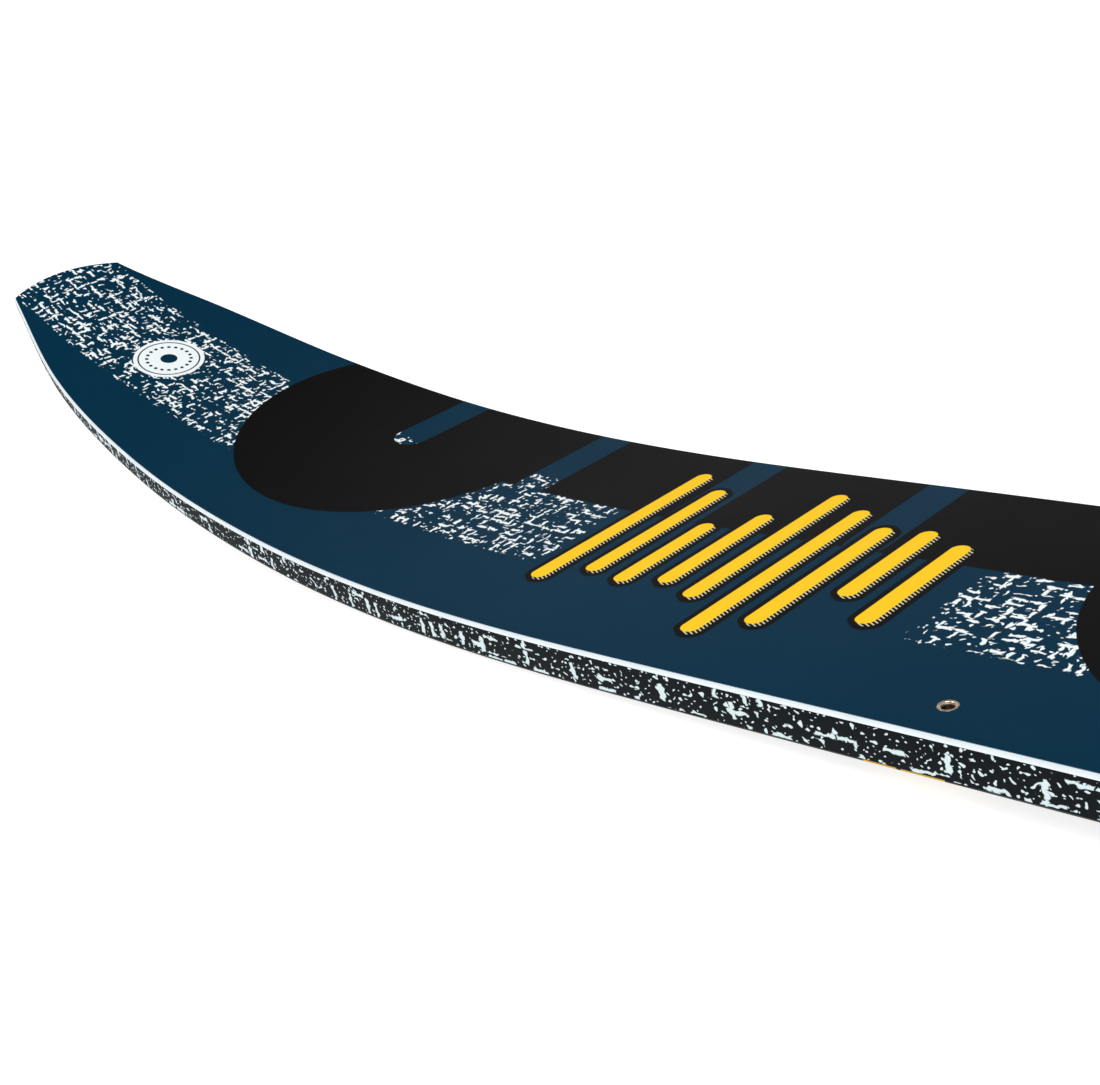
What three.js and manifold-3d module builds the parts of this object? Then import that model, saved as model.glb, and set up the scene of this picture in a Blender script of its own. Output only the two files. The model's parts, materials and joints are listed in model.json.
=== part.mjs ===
// A slalom water ski: a moulded sandwich ski with its binding inserts, adjustable fin and wing.
// Millimetres, +Z up. Along the ski x runs from the tip to the tail, and -Y is the skier's left.
// The whole ski is turned at the end so that it rests on its nose rocker and the fin's lower edge.
import * as THREE from "three";
import { mergeVertices } from "three/addons/utils/BufferGeometryUtils.js";
import Module from "manifold-3d";

const wasm = await Module();
wasm.setup();

// ---------- driving dimensions ----------
const LENGTH = 1702;
const GAP = 0.3; // free space between neighbouring pieces

// The outline: half widths at stations from the tip corners to the tail.
const WIDTH_STATIONS = [0, 90, 200, 340, 520, 860, 1150, 1400, 1580, LENGTH];
const HALF_WIDTHS = [44, 73, 90, 99.5, 103.5, 98, 91.5, 78, 59, 42];
const TIP_BULGE = 10;
const TIP_BULGE_REACH = 60;
const TAIL_BULGE = 9;
const TAIL_BULGE_REACH = 16; // it starts behind the fin box
const TAIL_CORNER_R = 20;

// The rocker: the deck sweeps up to the tip, is flat under the feet and lifts a little at the tail.
const TIP_RISE = 136;
const TIP_ROCKER_LENGTH = 640;
const TIP_ROCKER_POWER = 2.65;
const TAIL_ROCKER_START = 1250;
const TAIL_STRAIGHT_START = 1480;
const TAIL_SLOPE = 0.03;

// The thickness at the edge: full under the feet, thinner to both ends.
const FULL_THICKNESS = 23.3;
const TIP_THINNING = 15;
const TIP_THINNING_END = 780;
const TAIL_THINNING = 10;
const TUNNEL_DEPTH = 4; // of the concave base, at full thickness
const BEVEL_WIDTH = 6;
const BEVEL_HEIGHT = 4;

// The layers, as depths below the deck surface.
const FILM_BOTTOM = 0.5;
const FILM_MARGIN = 1.5; // how far the printed film stays inside the outline
const BACKING_TOP = 0.75;
const BACKING_EDGE_TOP = 1.9;
const BACKING_BOTTOM = 2.5;
const LAMINATE = 0.8;
const BOND = 0.25; // glue line between two layers
const BASE_THICKNESS = 1.8;
const BASE_THIN = 0.9; // the base sheet fades toward this as the relief does
const BASE_EDGE_THICKNESS = 0.7;
const RAIL_WIDTH = 8;
const TIP_SPACER_LENGTH = 40;
const TAIL_SPACER_LENGTH = 12;
const STRINGER_HALF = 2.5;

// Threaded binding inserts, in pairs across the ski.
const INSERT_PAIRS = [
  { name: "front_plate_toe", x: 795, y: 79 },
  { name: "front_plate_heel", x: 965, y: 74 },
  { name: "rear_plate_toe", x: 1080, y: 62 },
  { name: "rear_plate_heel", x: 1225, y: 62 },
];
const INSERT_R = 4.4;
const INSERT_BORE_R = 2.6;
const INSERT_LENGTH = 13;
const INSERT_BORE_DEPTH = 11;
const INSERT_CHAMFER = 0.7;
const POTTING_R = 11;
const POTTING_BOTTOM = 15.5;

// The fin, its box in the ski and its clamp on the deck.
const FIN_X = 1588;
const FIN_BOX_HALF_LENGTH = 97;
const FIN_BOX_HALF_WIDTH = 16;
const FIN_SLOT_HALF_LENGTH = 90;
const FIN_SLOT_HALF_WIDTH = 1.6;
const BLADE_HALF_THICKNESS = 0.8;
const BLADE_CLEARANCE = 0.2;
const TANG_HALF_LENGTH = 66;
const TANG_TOP = 12.5;
const BLADE_FRONT = -84;
const BLADE_REAR = 84;
const BLADE_BOTTOM = -76;
const BLADE_TOE_X = -26; // where the leading edge's curve meets the straight lower edge
const BLADE_SIDE_BOTTOM = -24; // where the straight front and rear edges end
const BLADE_TOE_PULL = 8; // how far the leading curve keeps inside the corner
const BLADE_HEEL = { run: 32, pull: 8, rise: 22, narrowing: 4 }; // the rounded rear corner
const FIN_TRAVEL = 3; // each way, when the clamp is loosened
const CLAMP_HALF_LENGTH = 67.7;
const CLAMP_OUTER_Y = 12;
const CLAMP_HEIGHT = 15;
const LUG_START = 70;
const LUG_LENGTH = 13;
const LUG_SCREW_Y = 8;
const AXIS_HEIGHT = 7; // of the clamp screws and the adjusters above the deck
const SCREW_R = 2;
const SCREW_HEAD_R = 3.6;
const SCREW_HEAD_HEIGHT = 3.4;
const SCREW_HOLE_R = 2.3;
const SOCKET_R = 1.6;
const SOCKET_DEPTH = 1.9;
const SOCKET_SHARE = 0.6; // the deepest socket in a low head, as a share of its height
const DECK_SCREW_DEPTH = 8;
const CLAMP_SCREW_X = 50;
const CLAMP_SCREW_LENGTH = 23;
const DECK_SCREW_X = 24;
const DECK_SCREW_Y = 7;
const ADJUSTER_R = 2.5;
const ADJUSTER_PROUD = 4; // how far an adjuster stands out of its lug
const ADJUSTER_SOCKET_R = 1.28;
const ADJUSTER_CHAMFER = 0.7;
const VENT_HOLES = 5;
const VENT_PITCH = 21;
const VENT_R = 4;
const VENT_Z = -31;

// The wing under the fin: two bent plates screwed through the blade.
const WING_PIVOT = { x: 22, z: -56 };
const WING_SCREW_SPACING = 16;
const WING_SPAN = 54;
const WING_PLATE = 1.5;
const WING_FRONT = 6; // reach in front of the first screw
const WING_BACK = 7; // reach behind the rear screw
const WING_DROP = 9; // from the screws down to the foil
const WING_TIP_X = 12; // the farthest point out
const WING_REAR_STRAIGHT = 42; // how far out the rear edge stays straight
const WING_FRONT_STRAIGHT = 23;
const WING_ANGLE = THREE.MathUtils.degToRad(8);
const WING_TRAVEL = THREE.MathUtils.degToRad(5);
const WING_SCREW_R = 1.5;
const WING_HEAD_R = 2.8;
const WING_HEAD_HEIGHT = 1.6;

const ROUND = 12; // sides of a round piece
const NUT_SIDES = 6;
const CURVE_STEPS = 6;
const ABOVE = 5; // how far a cutting tool starts above what it cuts
const BELOW = 60; // how far it reaches down through the ski
const WELD = 1e-4; // corners closer than this are one corner
const NOSE_END = 85; // the stations are closest in front of this
const TAIL_END = 7; // and over this last length

const SIDES = [
  { name: "left", sign: -1 },
  { name: "right", sign: 1 },
];
const ENDS = [
  { name: "front", sign: -1 },
  { name: "rear", sign: 1 },
];

// ---------- materials ----------
const material = (color, roughness, metalness = 0) =>
  new THREE.MeshStandardMaterial({ color, roughness, metalness });
const FILM = material(0x06344b, 0.35);
const WHITE_ABS = material(0xeef2f3, 0.4);
const CARBON = material(0x17181a, 0.45);
const FOAM = material(0xd9c98f, 0.9);
const STRINGER_WOOD = material(0xb98f5a, 0.7);
const RAIL_PLASTIC = material(0x25292c, 0.4);
const BASE_PLASTIC = material(0x1c1d1f, 0.35);
const POTTING_RESIN = material(0x3b3f44, 0.6);
const BOX_PLASTIC = material(0x202225, 0.5);
const BRASS = material(0xc9a66b, 0.25, 1);
const ANODISED = material(0x2b2e33, 0.4, 0.9);
const BARE_ALUMINIUM = material(0xb9bec4, 0.35, 1);
const STAINLESS = material(0xc7c9cc, 0.25, 1);

// ---------- the ski's form ----------
const interpolant = new THREE.CubicInterpolant(WIDTH_STATIONS, HALF_WIDTHS, 1);

/** Half the ski's width at station s, with the tail's corners rounded off. */
function halfWidth(s) {
  const straight = interpolant.evaluate(s)[0];
  const intoCorner = Math.max(0, s - (LENGTH - TAIL_CORNER_R));
  return straight - TAIL_CORNER_R + Math.sqrt(TAIL_CORNER_R ** 2 - intoCorner ** 2);
}

/** The deck's height above its flat middle. */
function deckHeight(x) {
  if (x < TIP_ROCKER_LENGTH) return TIP_RISE * (1 - x / TIP_ROCKER_LENGTH) ** TIP_ROCKER_POWER;
  if (x < TAIL_ROCKER_START) return 0;
  const run = TAIL_STRAIGHT_START - TAIL_ROCKER_START;
  if (x < TAIL_STRAIGHT_START) return (TAIL_SLOPE * (x - TAIL_ROCKER_START) ** 2) / (2 * run);
  return (TAIL_SLOPE * run) / 2 + TAIL_SLOPE * (x - TAIL_STRAIGHT_START);
}

/** The ski's full thickness beside the edges. */
function thickness(s) {
  const toTip = Math.max(0, 1 - s / TIP_THINNING_END);
  const toTail = Math.max(0, (s - TAIL_ROCKER_START) / (LENGTH - TAIL_ROCKER_START));
  return FULL_THICKNESS - TIP_THINNING * toTip ** 2 - TAIL_THINNING * toTail ** 2;
}

/** How large the base's relief is at s: it fades as the ski thins. */
const relief = (s) => thickness(s) / FULL_THICKNESS;
const innerHalf = (s) => halfWidth(s) - RAIL_WIDTH;

/** How far an end curves out past its corners at (s, y). */
function endBulge(s, y) {
  const across = 1 - (y / halfWidth(s)) ** 2;
  const tip = Math.max(0, 1 - s / TIP_BULGE_REACH) ** 2;
  const tail = Math.max(0, 1 - (LENGTH - s) / TAIL_BULGE_REACH) ** 2;
  return across * (TAIL_BULGE * tail - TIP_BULGE * tip);
}

/** The point at station s, side distance y and depth below the deck. */
function place(s, y, depth) {
  const x = s + endBulge(s, y);
  return new THREE.Vector3(x, y, deckHeight(x) - depth);
}

/** Depth of the base's underside: bevelled at the edge, then a shallow tunnel between the rails. */
function baseBottom(s, y) {
  const reach = Math.abs(y);
  const bevelStart = halfWidth(s) - BEVEL_WIDTH * relief(s);
  if (reach > bevelStart) {
    const along = (reach - bevelStart) / (halfWidth(s) - bevelStart);
    return thickness(s) - BEVEL_HEIGHT * relief(s) * along;
  }
  const tunnel = Math.max(0, 1 - (y / innerHalf(s)) ** 2);
  return thickness(s) - TUNNEL_DEPTH * relief(s) * tunnel;
}

/** Depth of the base's upper side. Its skin is thinnest at the very edge. */
function baseTop(s, y) {
  const atEdge = Math.abs(y) > halfWidth(s) - FILM_MARGIN / 2;
  const full = BASE_THIN + (BASE_THICKNESS - BASE_THIN) * relief(s);
  const skin = atEdge ? BASE_EDGE_THICKNESS : full;
  return baseBottom(s, y) - skin;
}

const laminateTopDepth = BACKING_BOTTOM + BOND;
const coreTopDepth = laminateTopDepth + LAMINATE + BOND;
const lowerLaminateTop = (s, y) => baseTop(s, y) - BOND - LAMINATE;

// ---------- meshes from grids ----------
const spread = (from, to, steps) =>
  Array.from({ length: steps + 1 }, (_, i) => from + ((to - from) * i) / steps);

/** Stations along the ski, closer together where it curves. */
const STATIONS = [
  ...spread(0, TIP_SPACER_LENGTH, 2),
  ...spread(NOSE_END, TIP_ROCKER_LENGTH, 11),
  ...spread(TIP_ROCKER_LENGTH, TAIL_ROCKER_START, 4).slice(1),
  ...spread(TAIL_ROCKER_START, TAIL_STRAIGHT_START, 3).slice(1),
  ...spread(TAIL_STRAIGHT_START, LENGTH - TAIL_CORNER_R, 2).slice(1),
  LENGTH - TAIL_SPACER_LENGTH,
  ...spread(LENGTH - TAIL_END, LENGTH, 2),
];

/** The stations well inside a range, between the range's own ends. */
const stationsBetween = (from, to) => [
  from,
  ...STATIONS.filter((s) => s > from + 1 && s < to - 1),
  to,
];

/**
 * A closed solid between two depth functions. columns are functions of s that give the side
 * distances, from -Y to +Y.
 */
function slab(stations, columns, topDepth, bottomDepth) {
  const positions = [];
  const index = [];
  const across = columns.length;
  const vertex = (i, j, lower) => (i * across + j) * 2 + lower;
  const quad = (a, b, c, d) => index.push(a, b, c, a, c, d);
  for (const s of stations) {
    for (const column of columns) {
      const y = column(s);
      positions.push(...place(s, y, topDepth(s, y)));
      positions.push(...place(s, y, bottomDepth(s, y)));
    }
  }
  for (let i = 0; i + 1 < stations.length; i++) {
    for (let j = 0; j + 1 < across; j++) {
      quad(vertex(i, j, 0), vertex(i + 1, j, 0), vertex(i + 1, j + 1, 0), vertex(i, j + 1, 0));
      quad(vertex(i, j, 1), vertex(i, j + 1, 1), vertex(i + 1, j + 1, 1), vertex(i + 1, j, 1));
    }
    quad(vertex(i, 0, 0), vertex(i, 0, 1), vertex(i + 1, 0, 1), vertex(i + 1, 0, 0));
    const k = across - 1;
    quad(vertex(i, k, 0), vertex(i + 1, k, 0), vertex(i + 1, k, 1), vertex(i, k, 1));
  }
  const last = stations.length - 1;
  for (let j = 0; j + 1 < across; j++) {
    quad(vertex(0, j, 0), vertex(0, j + 1, 0), vertex(0, j + 1, 1), vertex(0, j, 1));
    quad(vertex(last, j, 0), vertex(last, j, 1), vertex(last, j + 1, 1), vertex(last, j + 1, 0));
  }
  return new THREE.BufferGeometry()
    .setAttribute("position", new THREE.Float32BufferAttribute(positions, 3))
    .setIndex(index);
}

const flat = (depth) => () => depth;
const INNER_FRACTIONS = spread(-1, 1, 6);
const scaledColumns = (fractions, half) => fractions.map((f) => (s) => f * half(s));

/** Columns across a full-width layer: edge columns given from outside in, and the inner ones. */
function fullColumns(edgeColumns) {
  const left = edgeColumns.map((column) => (s) => -column(s));
  const inner = scaledColumns(INNER_FRACTIONS, innerHalf);
  return [...left, ...inner, ...edgeColumns.toReversed()];
}

// ---------- joining and cutting ----------
function solidOf(geometry) {
  const bare = geometry.clone();
  bare.deleteAttribute("normal");
  bare.deleteAttribute("uv");
  const merged = mergeVertices(bare, WELD);
  const mesh = new wasm.Mesh({
    numProp: 3,
    vertProperties: new Float32Array(merged.attributes.position.array),
    triVerts: new Uint32Array(merged.index.array),
  });
  return new wasm.Manifold(mesh);
}

function geometryOf(solid) {
  const mesh = solid.getMesh();
  return new THREE.BufferGeometry()
    .setAttribute("position", new THREE.BufferAttribute(mesh.vertProperties, 3))
    .setIndex(new THREE.BufferAttribute(mesh.triVerts, 1));
}

function cut(body, tools) {
  let solid = solidOf(body);
  for (const tool of tools) solid = solid.subtract(solidOf(tool));
  return geometryOf(solid);
}

const join = (a, b) => geometryOf(solidOf(a).add(solidOf(b)));

/** A cylinder along Z between two heights. */
function upright(radius, from, to, x = 0, y = 0) {
  return new THREE.CylinderGeometry(radius, radius, to - from, ROUND)
    .rotateX(Math.PI / 2)
    .translate(x, y, (from + to) / 2);
}

/** A box between two corners. */
function block(x0, x1, y0, y1, z0, z1) {
  return new THREE.BoxGeometry(x1 - x0, y1 - y0, z1 - z0).translate(
    (x0 + x1) / 2,
    (y0 + y1) / 2,
    (z0 + z1) / 2,
  );
}

/** A turned piece about Z from [radius, height] pairs that start and end on the axis. */
function turned(profile, sides = ROUND) {
  const points = profile.map(([r, z]) => new THREE.Vector2(r, z));
  return new THREE.LatheGeometry(points, sides).rotateX(Math.PI / 2);
}

// ---------- the group that holds every node ----------
const ski = new THREE.Group();

function add(name, geometry, look, parent = ski) {
  geometry.computeVertexNormals();
  const mesh = new THREE.Mesh(geometry, look);
  mesh.name = name;
  parent.add(mesh);
  return mesh;
}

// ---------- insert positions ----------
const inserts = INSERT_PAIRS.flatMap((pair) =>
  SIDES.map((side) => ({ name: `${pair.name}_${side.name}`, x: pair.x, y: side.sign * pair.y })),
);
const insertHoles = (radius, depth) =>
  inserts.map((at) => upright(radius, -depth, ABOVE, at.x, at.y));

/** The fin box's footprint, grown by grow, through the depths of a layer. */
function finBoxCut(grow = 0) {
  const stations = [FIN_X - FIN_BOX_HALF_LENGTH - grow, FIN_X + FIN_BOX_HALF_LENGTH + grow];
  const half = FIN_BOX_HALF_WIDTH + grow;
  return slab(stations, [() => -half, () => half], flat(-ABOVE), flat(BELOW));
}

// ---------- the sandwich ----------
function addDeckLayers() {
  const holes = [...insertHoles(INSERT_R + GAP / 2, coreTopDepth), finBoxCut(GAP)];
  const filmColumns = fullColumns([(s) => halfWidth(s) - FILM_MARGIN]);
  const film = slab(STATIONS, filmColumns, flat(0), flat(FILM_BOTTOM));
  add("top_sheet", cut(film, holes), FILM);

  const shoulder = (s) => halfWidth(s) - FILM_MARGIN;
  const backingTop = (s, y) =>
    Math.abs(y) > shoulder(s) + GAP ? BACKING_EDGE_TOP : BACKING_TOP;
  const backingColumns = fullColumns([halfWidth, shoulder]);
  const backing = slab(STATIONS, backingColumns, backingTop, flat(BACKING_BOTTOM));
  add("top_sheet_backing", cut(backing, holes), WHITE_ABS);
}

const coreStations = stationsBetween(TIP_SPACER_LENGTH + GAP, LENGTH - TAIL_SPACER_LENGTH - GAP);
const coreHalf = (s) => innerHalf(s) - GAP;

function addLaminates() {
  const columns = scaledColumns(INNER_FRACTIONS, coreHalf);
  const upper = slab(
    coreStations,
    columns,
    flat(laminateTopDepth),
    flat(laminateTopDepth + LAMINATE),
  );
  const upperHoles = [...insertHoles(INSERT_R + GAP / 2, coreTopDepth), finBoxCut(GAP)];
  add("top_laminate", cut(upper, upperHoles), CARBON);
  const lower = slab(coreStations, columns, lowerLaminateTop, (s, y) => baseTop(s, y) - BOND);
  add("bottom_laminate", cut(lower, [finBoxCut(GAP)]), CARBON);
}

function addCore() {
  const bottom = (s, y) => lowerLaminateTop(s, y) - BOND;
  const inner = STRINGER_HALF + GAP;
  const pockets = insertHoles(POTTING_R + GAP, POTTING_BOTTOM + GAP);
  for (const { name, sign } of SIDES) {
    const ys = spread(0, 1, 4).map((f) => (s) => sign * (inner + f * (coreHalf(s) - inner)));
    const columns = sign < 0 ? ys.reverse() : ys;
    const half = slab(coreStations, columns, flat(coreTopDepth), bottom);
    add(`core_${name}`, cut(half, [...pockets, finBoxCut(GAP)]), FOAM);
  }
  const stations = stationsBetween(coreStations[0], FIN_X - FIN_BOX_HALF_LENGTH - GAP);
  const columns = [() => -STRINGER_HALF, () => 0, () => STRINGER_HALF];
  add("centre_stringer", slab(stations, columns, flat(coreTopDepth), bottom), STRINGER_WOOD);
}

function addRails() {
  const bottom = (s, y) => baseTop(s, y) - BOND;
  for (const { name, sign } of SIDES) {
    const ys = [
      (s) => sign * innerHalf(s),
      (s) => sign * (halfWidth(s) - BEVEL_WIDTH * relief(s)),
      (s) => sign * halfWidth(s),
    ];
    const columns = sign < 0 ? ys.reverse() : ys;
    add(`rail_${name}`, slab(STATIONS, columns, flat(laminateTopDepth), bottom), RAIL_PLASTIC);
  }
  const columns = scaledColumns(INNER_FRACTIONS, coreHalf);
  const tip = slab(
    stationsBetween(0, TIP_SPACER_LENGTH),
    columns,
    flat(laminateTopDepth),
    bottom,
  );
  add("tip_spacer", tip, RAIL_PLASTIC);
  const tailStations = stationsBetween(LENGTH - TAIL_SPACER_LENGTH, LENGTH);
  add("tail_spacer", slab(tailStations, columns, flat(laminateTopDepth), bottom), RAIL_PLASTIC);
}

function addBase() {
  const columns = fullColumns([halfWidth, (s) => halfWidth(s) - BEVEL_WIDTH * relief(s)]);
  const sheet = slab(STATIONS, columns, baseTop, baseBottom);
  add("base_sheet", cut(sheet, [finBoxCut(GAP)]), BASE_PLASTIC);
}

// ---------- binding inserts ----------
function addInserts() {
  const profile = [
    [0, -INSERT_LENGTH],
    [INSERT_R - INSERT_CHAMFER, -INSERT_LENGTH],
    [INSERT_R, INSERT_CHAMFER - INSERT_LENGTH],
    [INSERT_R, 0],
    [INSERT_BORE_R + INSERT_CHAMFER, 0],
    [INSERT_BORE_R, -INSERT_CHAMFER],
    [INSERT_BORE_R, -INSERT_BORE_DEPTH],
    [0, -INSERT_BORE_DEPTH],
  ];
  const pottingTop = -coreTopDepth;
  const potting = [
    [0, -POTTING_BOTTOM],
    [POTTING_R, -POTTING_BOTTOM],
    [POTTING_R, pottingTop],
    [INSERT_R + GAP, pottingTop],
    [INSERT_R + GAP, -INSERT_LENGTH - GAP],
    [0, -INSERT_LENGTH - GAP],
  ];
  for (const { name, x, y } of inserts) {
    add(`insert_${name}`, turned(profile), BRASS).position.set(x, y, 0);
    add(`potting_${name}`, turned(potting), POTTING_RESIN).position.set(x, y, 0);
  }
}

// ---------- the fin assembly, in a frame on the deck at the fin's middle ----------
const finGroup = new THREE.Group();
finGroup.position.set(FIN_X, 0, deckHeight(FIN_X));
finGroup.rotation.y = -Math.atan(TAIL_SLOPE);

/** A socket-head screw about Z: head underside at 0, shank down. */
function socketScrew(length, radius, headRadius, headHeight) {
  const socketFloor = headHeight - Math.min(SOCKET_DEPTH, headHeight * SOCKET_SHARE);
  return turned([
    [0, -length],
    [radius, -length],
    [radius, 0],
    [headRadius, 0],
    [headRadius, headHeight],
    [SOCKET_R, headHeight],
    [SOCKET_R, socketFloor],
    [0, socketFloor],
  ]);
}

const LUG_END = LUG_START + LUG_LENGTH;
const lugScrewX = LUG_START + LUG_LENGTH / 2;
const deckScrews = SIDES.flatMap(({ name, sign }) => [
  { name: `lug_screw_front_${name}`, x: -lugScrewX, y: sign * LUG_SCREW_Y },
  { name: `clamp_base_screw_front_${name}`, x: -DECK_SCREW_X, y: sign * DECK_SCREW_Y },
  { name: `clamp_base_screw_rear_${name}`, x: DECK_SCREW_X, y: sign * DECK_SCREW_Y },
  { name: `lug_screw_rear_${name}`, x: lugScrewX, y: sign * LUG_SCREW_Y },
]);
const deckScrewHoles = () =>
  deckScrews.map((at) =>
    upright(SCREW_HOLE_R, -DECK_SCREW_DEPTH - 1, CLAMP_HEIGHT + ABOVE, at.x, at.y),
  );

/** A bore across both clamp bars for a clamp screw. */
function crossBore(x) {
  const length = 2 * (CLAMP_OUTER_Y + ABOVE);
  const bore = new THREE.CylinderGeometry(SCREW_HOLE_R, SCREW_HOLE_R, length, ROUND);
  return bore.translate(x, 0, AXIS_HEIGHT);
}

function addFinBox() {
  const stations = [FIN_X - FIN_BOX_HALF_LENGTH, FIN_X, FIN_X + FIN_BOX_HALF_LENGTH];
  const edges = spread(-1, 1, 4).map((f) => () => f * FIN_BOX_HALF_WIDTH);
  const body = slab(stations, edges, flat(0), baseBottom);
  const slotStations = [FIN_X - FIN_SLOT_HALF_LENGTH, FIN_X + FIN_SLOT_HALF_LENGTH];
  const slot = slab(
    slotStations,
    [() => -FIN_SLOT_HALF_WIDTH, () => FIN_SLOT_HALF_WIDTH],
    flat(-ABOVE),
    flat(BELOW),
  );
  finGroup.updateMatrix();
  const holes = deckScrewHoles().map((hole) => hole.applyMatrix4(finGroup.matrix));
  add("fin_box", cut(body, [slot, ...holes]), BOX_PLASTIC);
}

function addClampBars() {
  const innerY = BLADE_HALF_THICKNESS + BLADE_CLEARANCE;
  const crossHoles = ENDS.map(({ sign }) => crossBore(sign * CLAMP_SCREW_X));
  for (const { name, sign } of SIDES) {
    const ys = [sign * innerY, sign * CLAMP_OUTER_Y].sort((a, b) => a - b);
    const bar = block(-CLAMP_HALF_LENGTH, CLAMP_HALF_LENGTH, ...ys, GAP, CLAMP_HEIGHT);
    const drilled = cut(bar, [...crossHoles, ...deckScrewHoles()]);
    add(`fin_clamp_${name}`, drilled, ANODISED, finGroup);
  }
}

function addLugs() {
  const bore = upright(ADJUSTER_R + GAP, -LUG_END - ABOVE, LUG_END + ABOVE)
    .rotateY(Math.PI / 2)
    .translate(0, 0, AXIS_HEIGHT);
  for (const { name, sign } of ENDS) {
    const xs = [sign * LUG_START, sign * LUG_END].sort((a, b) => a - b);
    const lug = block(...xs, -CLAMP_OUTER_Y, CLAMP_OUTER_Y, GAP, CLAMP_HEIGHT);
    add(`adjuster_lug_${name}`, cut(lug, [bore, ...deckScrewHoles()]), ANODISED, finGroup);
  }
}

/** The set screws through the lugs. Between them they stop the blade's tang. */
function addAdjusters() {
  const tip = TANG_HALF_LENGTH + FIN_TRAVEL + GAP;
  const length = LUG_END + ADJUSTER_PROUD - tip;
  for (const { name, sign } of ENDS) {
    const setScrew = turned([
      [0, 0],
      [ADJUSTER_R - ADJUSTER_CHAMFER, 0],
      [ADJUSTER_R, ADJUSTER_CHAMFER],
      [ADJUSTER_R, length],
      [ADJUSTER_SOCKET_R, length],
      [ADJUSTER_SOCKET_R, length - SOCKET_DEPTH],
      [0, length - SOCKET_DEPTH],
    ]).rotateY((sign * Math.PI) / 2);
    const screw = add(`fin_adjuster_${name}`, setScrew, STAINLESS, finGroup);
    screw.position.set(sign * tip, 0, AXIS_HEIGHT);
  }
}

function addClampScrews() {
  for (const { name, sign } of ENDS) {
    const shape = socketScrew(CLAMP_SCREW_LENGTH, SCREW_R, SCREW_HEAD_R, SCREW_HEAD_HEIGHT);
    const across = shape.rotateX(Math.PI / 2);
    const screw = add(`clamp_screw_${name}`, across, STAINLESS, finGroup);
    screw.position.set(sign * CLAMP_SCREW_X, -CLAMP_OUTER_Y - GAP, AXIS_HEIGHT);
  }
  const length = CLAMP_HEIGHT + GAP + DECK_SCREW_DEPTH;
  for (const { name, x, y } of deckScrews) {
    const shape = socketScrew(length, SCREW_R, SCREW_HEAD_R, SCREW_HEAD_HEIGHT);
    add(name, shape, STAINLESS, finGroup).position.set(x, y, CLAMP_HEIGHT + GAP);
  }
}

/** An extruded outline in the ski's long plane, centred on y = 0. */
function longPlate(shape, halfThickness) {
  return new THREE.ExtrudeGeometry(shape, {
    depth: 2 * halfThickness,
    bevelEnabled: false,
    curveSegments: CURVE_STEPS,
  })
    .rotateX(Math.PI / 2)
    .translate(0, halfThickness, 0);
}

function roundHole(x, z, radius) {
  const hole = new THREE.Path();
  hole.absarc(x, z, radius, 0, 2 * Math.PI, true);
  return hole;
}

/** A hole with round ends, stretched along x by reach each way. */
function slotHole(x, z, radius, reach) {
  const hole = new THREE.Path();
  hole.absarc(x + reach, z, radius, Math.PI / 2, -Math.PI / 2, true);
  hole.absarc(x - reach, z, radius, -Math.PI / 2, (-3 * Math.PI) / 2, true);
  return hole;
}

function addBlade() {
  const shape = new THREE.Shape();
  shape.moveTo(-TANG_HALF_LENGTH, TANG_TOP);
  shape.lineTo(-TANG_HALF_LENGTH, -GAP);
  shape.lineTo(BLADE_FRONT, -GAP * 2);
  shape.lineTo(BLADE_FRONT, BLADE_SIDE_BOTTOM);
  shape.quadraticCurveTo(
    BLADE_FRONT + BLADE_TOE_PULL,
    BLADE_BOTTOM + BLADE_TOE_PULL,
    BLADE_TOE_X,
    BLADE_BOTTOM,
  );
  shape.lineTo(BLADE_REAR - BLADE_HEEL.run, BLADE_BOTTOM);
  shape.quadraticCurveTo(
    BLADE_REAR - BLADE_HEEL.pull,
    BLADE_BOTTOM,
    BLADE_REAR - BLADE_HEEL.narrowing,
    BLADE_BOTTOM + BLADE_HEEL.rise,
  );
  shape.lineTo(BLADE_REAR, BLADE_SIDE_BOTTOM);
  shape.lineTo(BLADE_REAR, -GAP * 2);
  shape.lineTo(TANG_HALF_LENGTH, -GAP);
  shape.lineTo(TANG_HALF_LENGTH, TANG_TOP);
  shape.closePath();
  for (const { sign } of ENDS) {
    shape.holes.push(slotHole(sign * CLAMP_SCREW_X, AXIS_HEIGHT, SCREW_HOLE_R, FIN_TRAVEL + GAP));
  }
  for (let i = 0; i < VENT_HOLES; i++) {
    const x = (i - (VENT_HOLES - 1) / 2) * VENT_PITCH;
    shape.holes.push(roundHole(x, VENT_Z, VENT_R));
  }
  const clearance = WING_SCREW_R + GAP;
  shape.holes.push(roundHole(WING_PIVOT.x, WING_PIVOT.z, clearance));
  const swing = WING_SCREW_SPACING * Math.sin(WING_TRAVEL);
  const rearX = WING_PIVOT.x + WING_SCREW_SPACING * Math.cos(WING_ANGLE);
  const rearZ = WING_PIVOT.z - WING_SCREW_SPACING * Math.sin(WING_ANGLE);
  shape.holes.push(roundHole(rearX, rearZ, clearance + swing));
  add("fin_blade", longPlate(shape, BLADE_HALF_THICKNESS), BARE_ALUMINIUM, finGroup);
}

const flangeInner = BLADE_HALF_THICKNESS + BLADE_CLEARANCE;
const wingRear = WING_SCREW_SPACING + WING_BACK;

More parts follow.
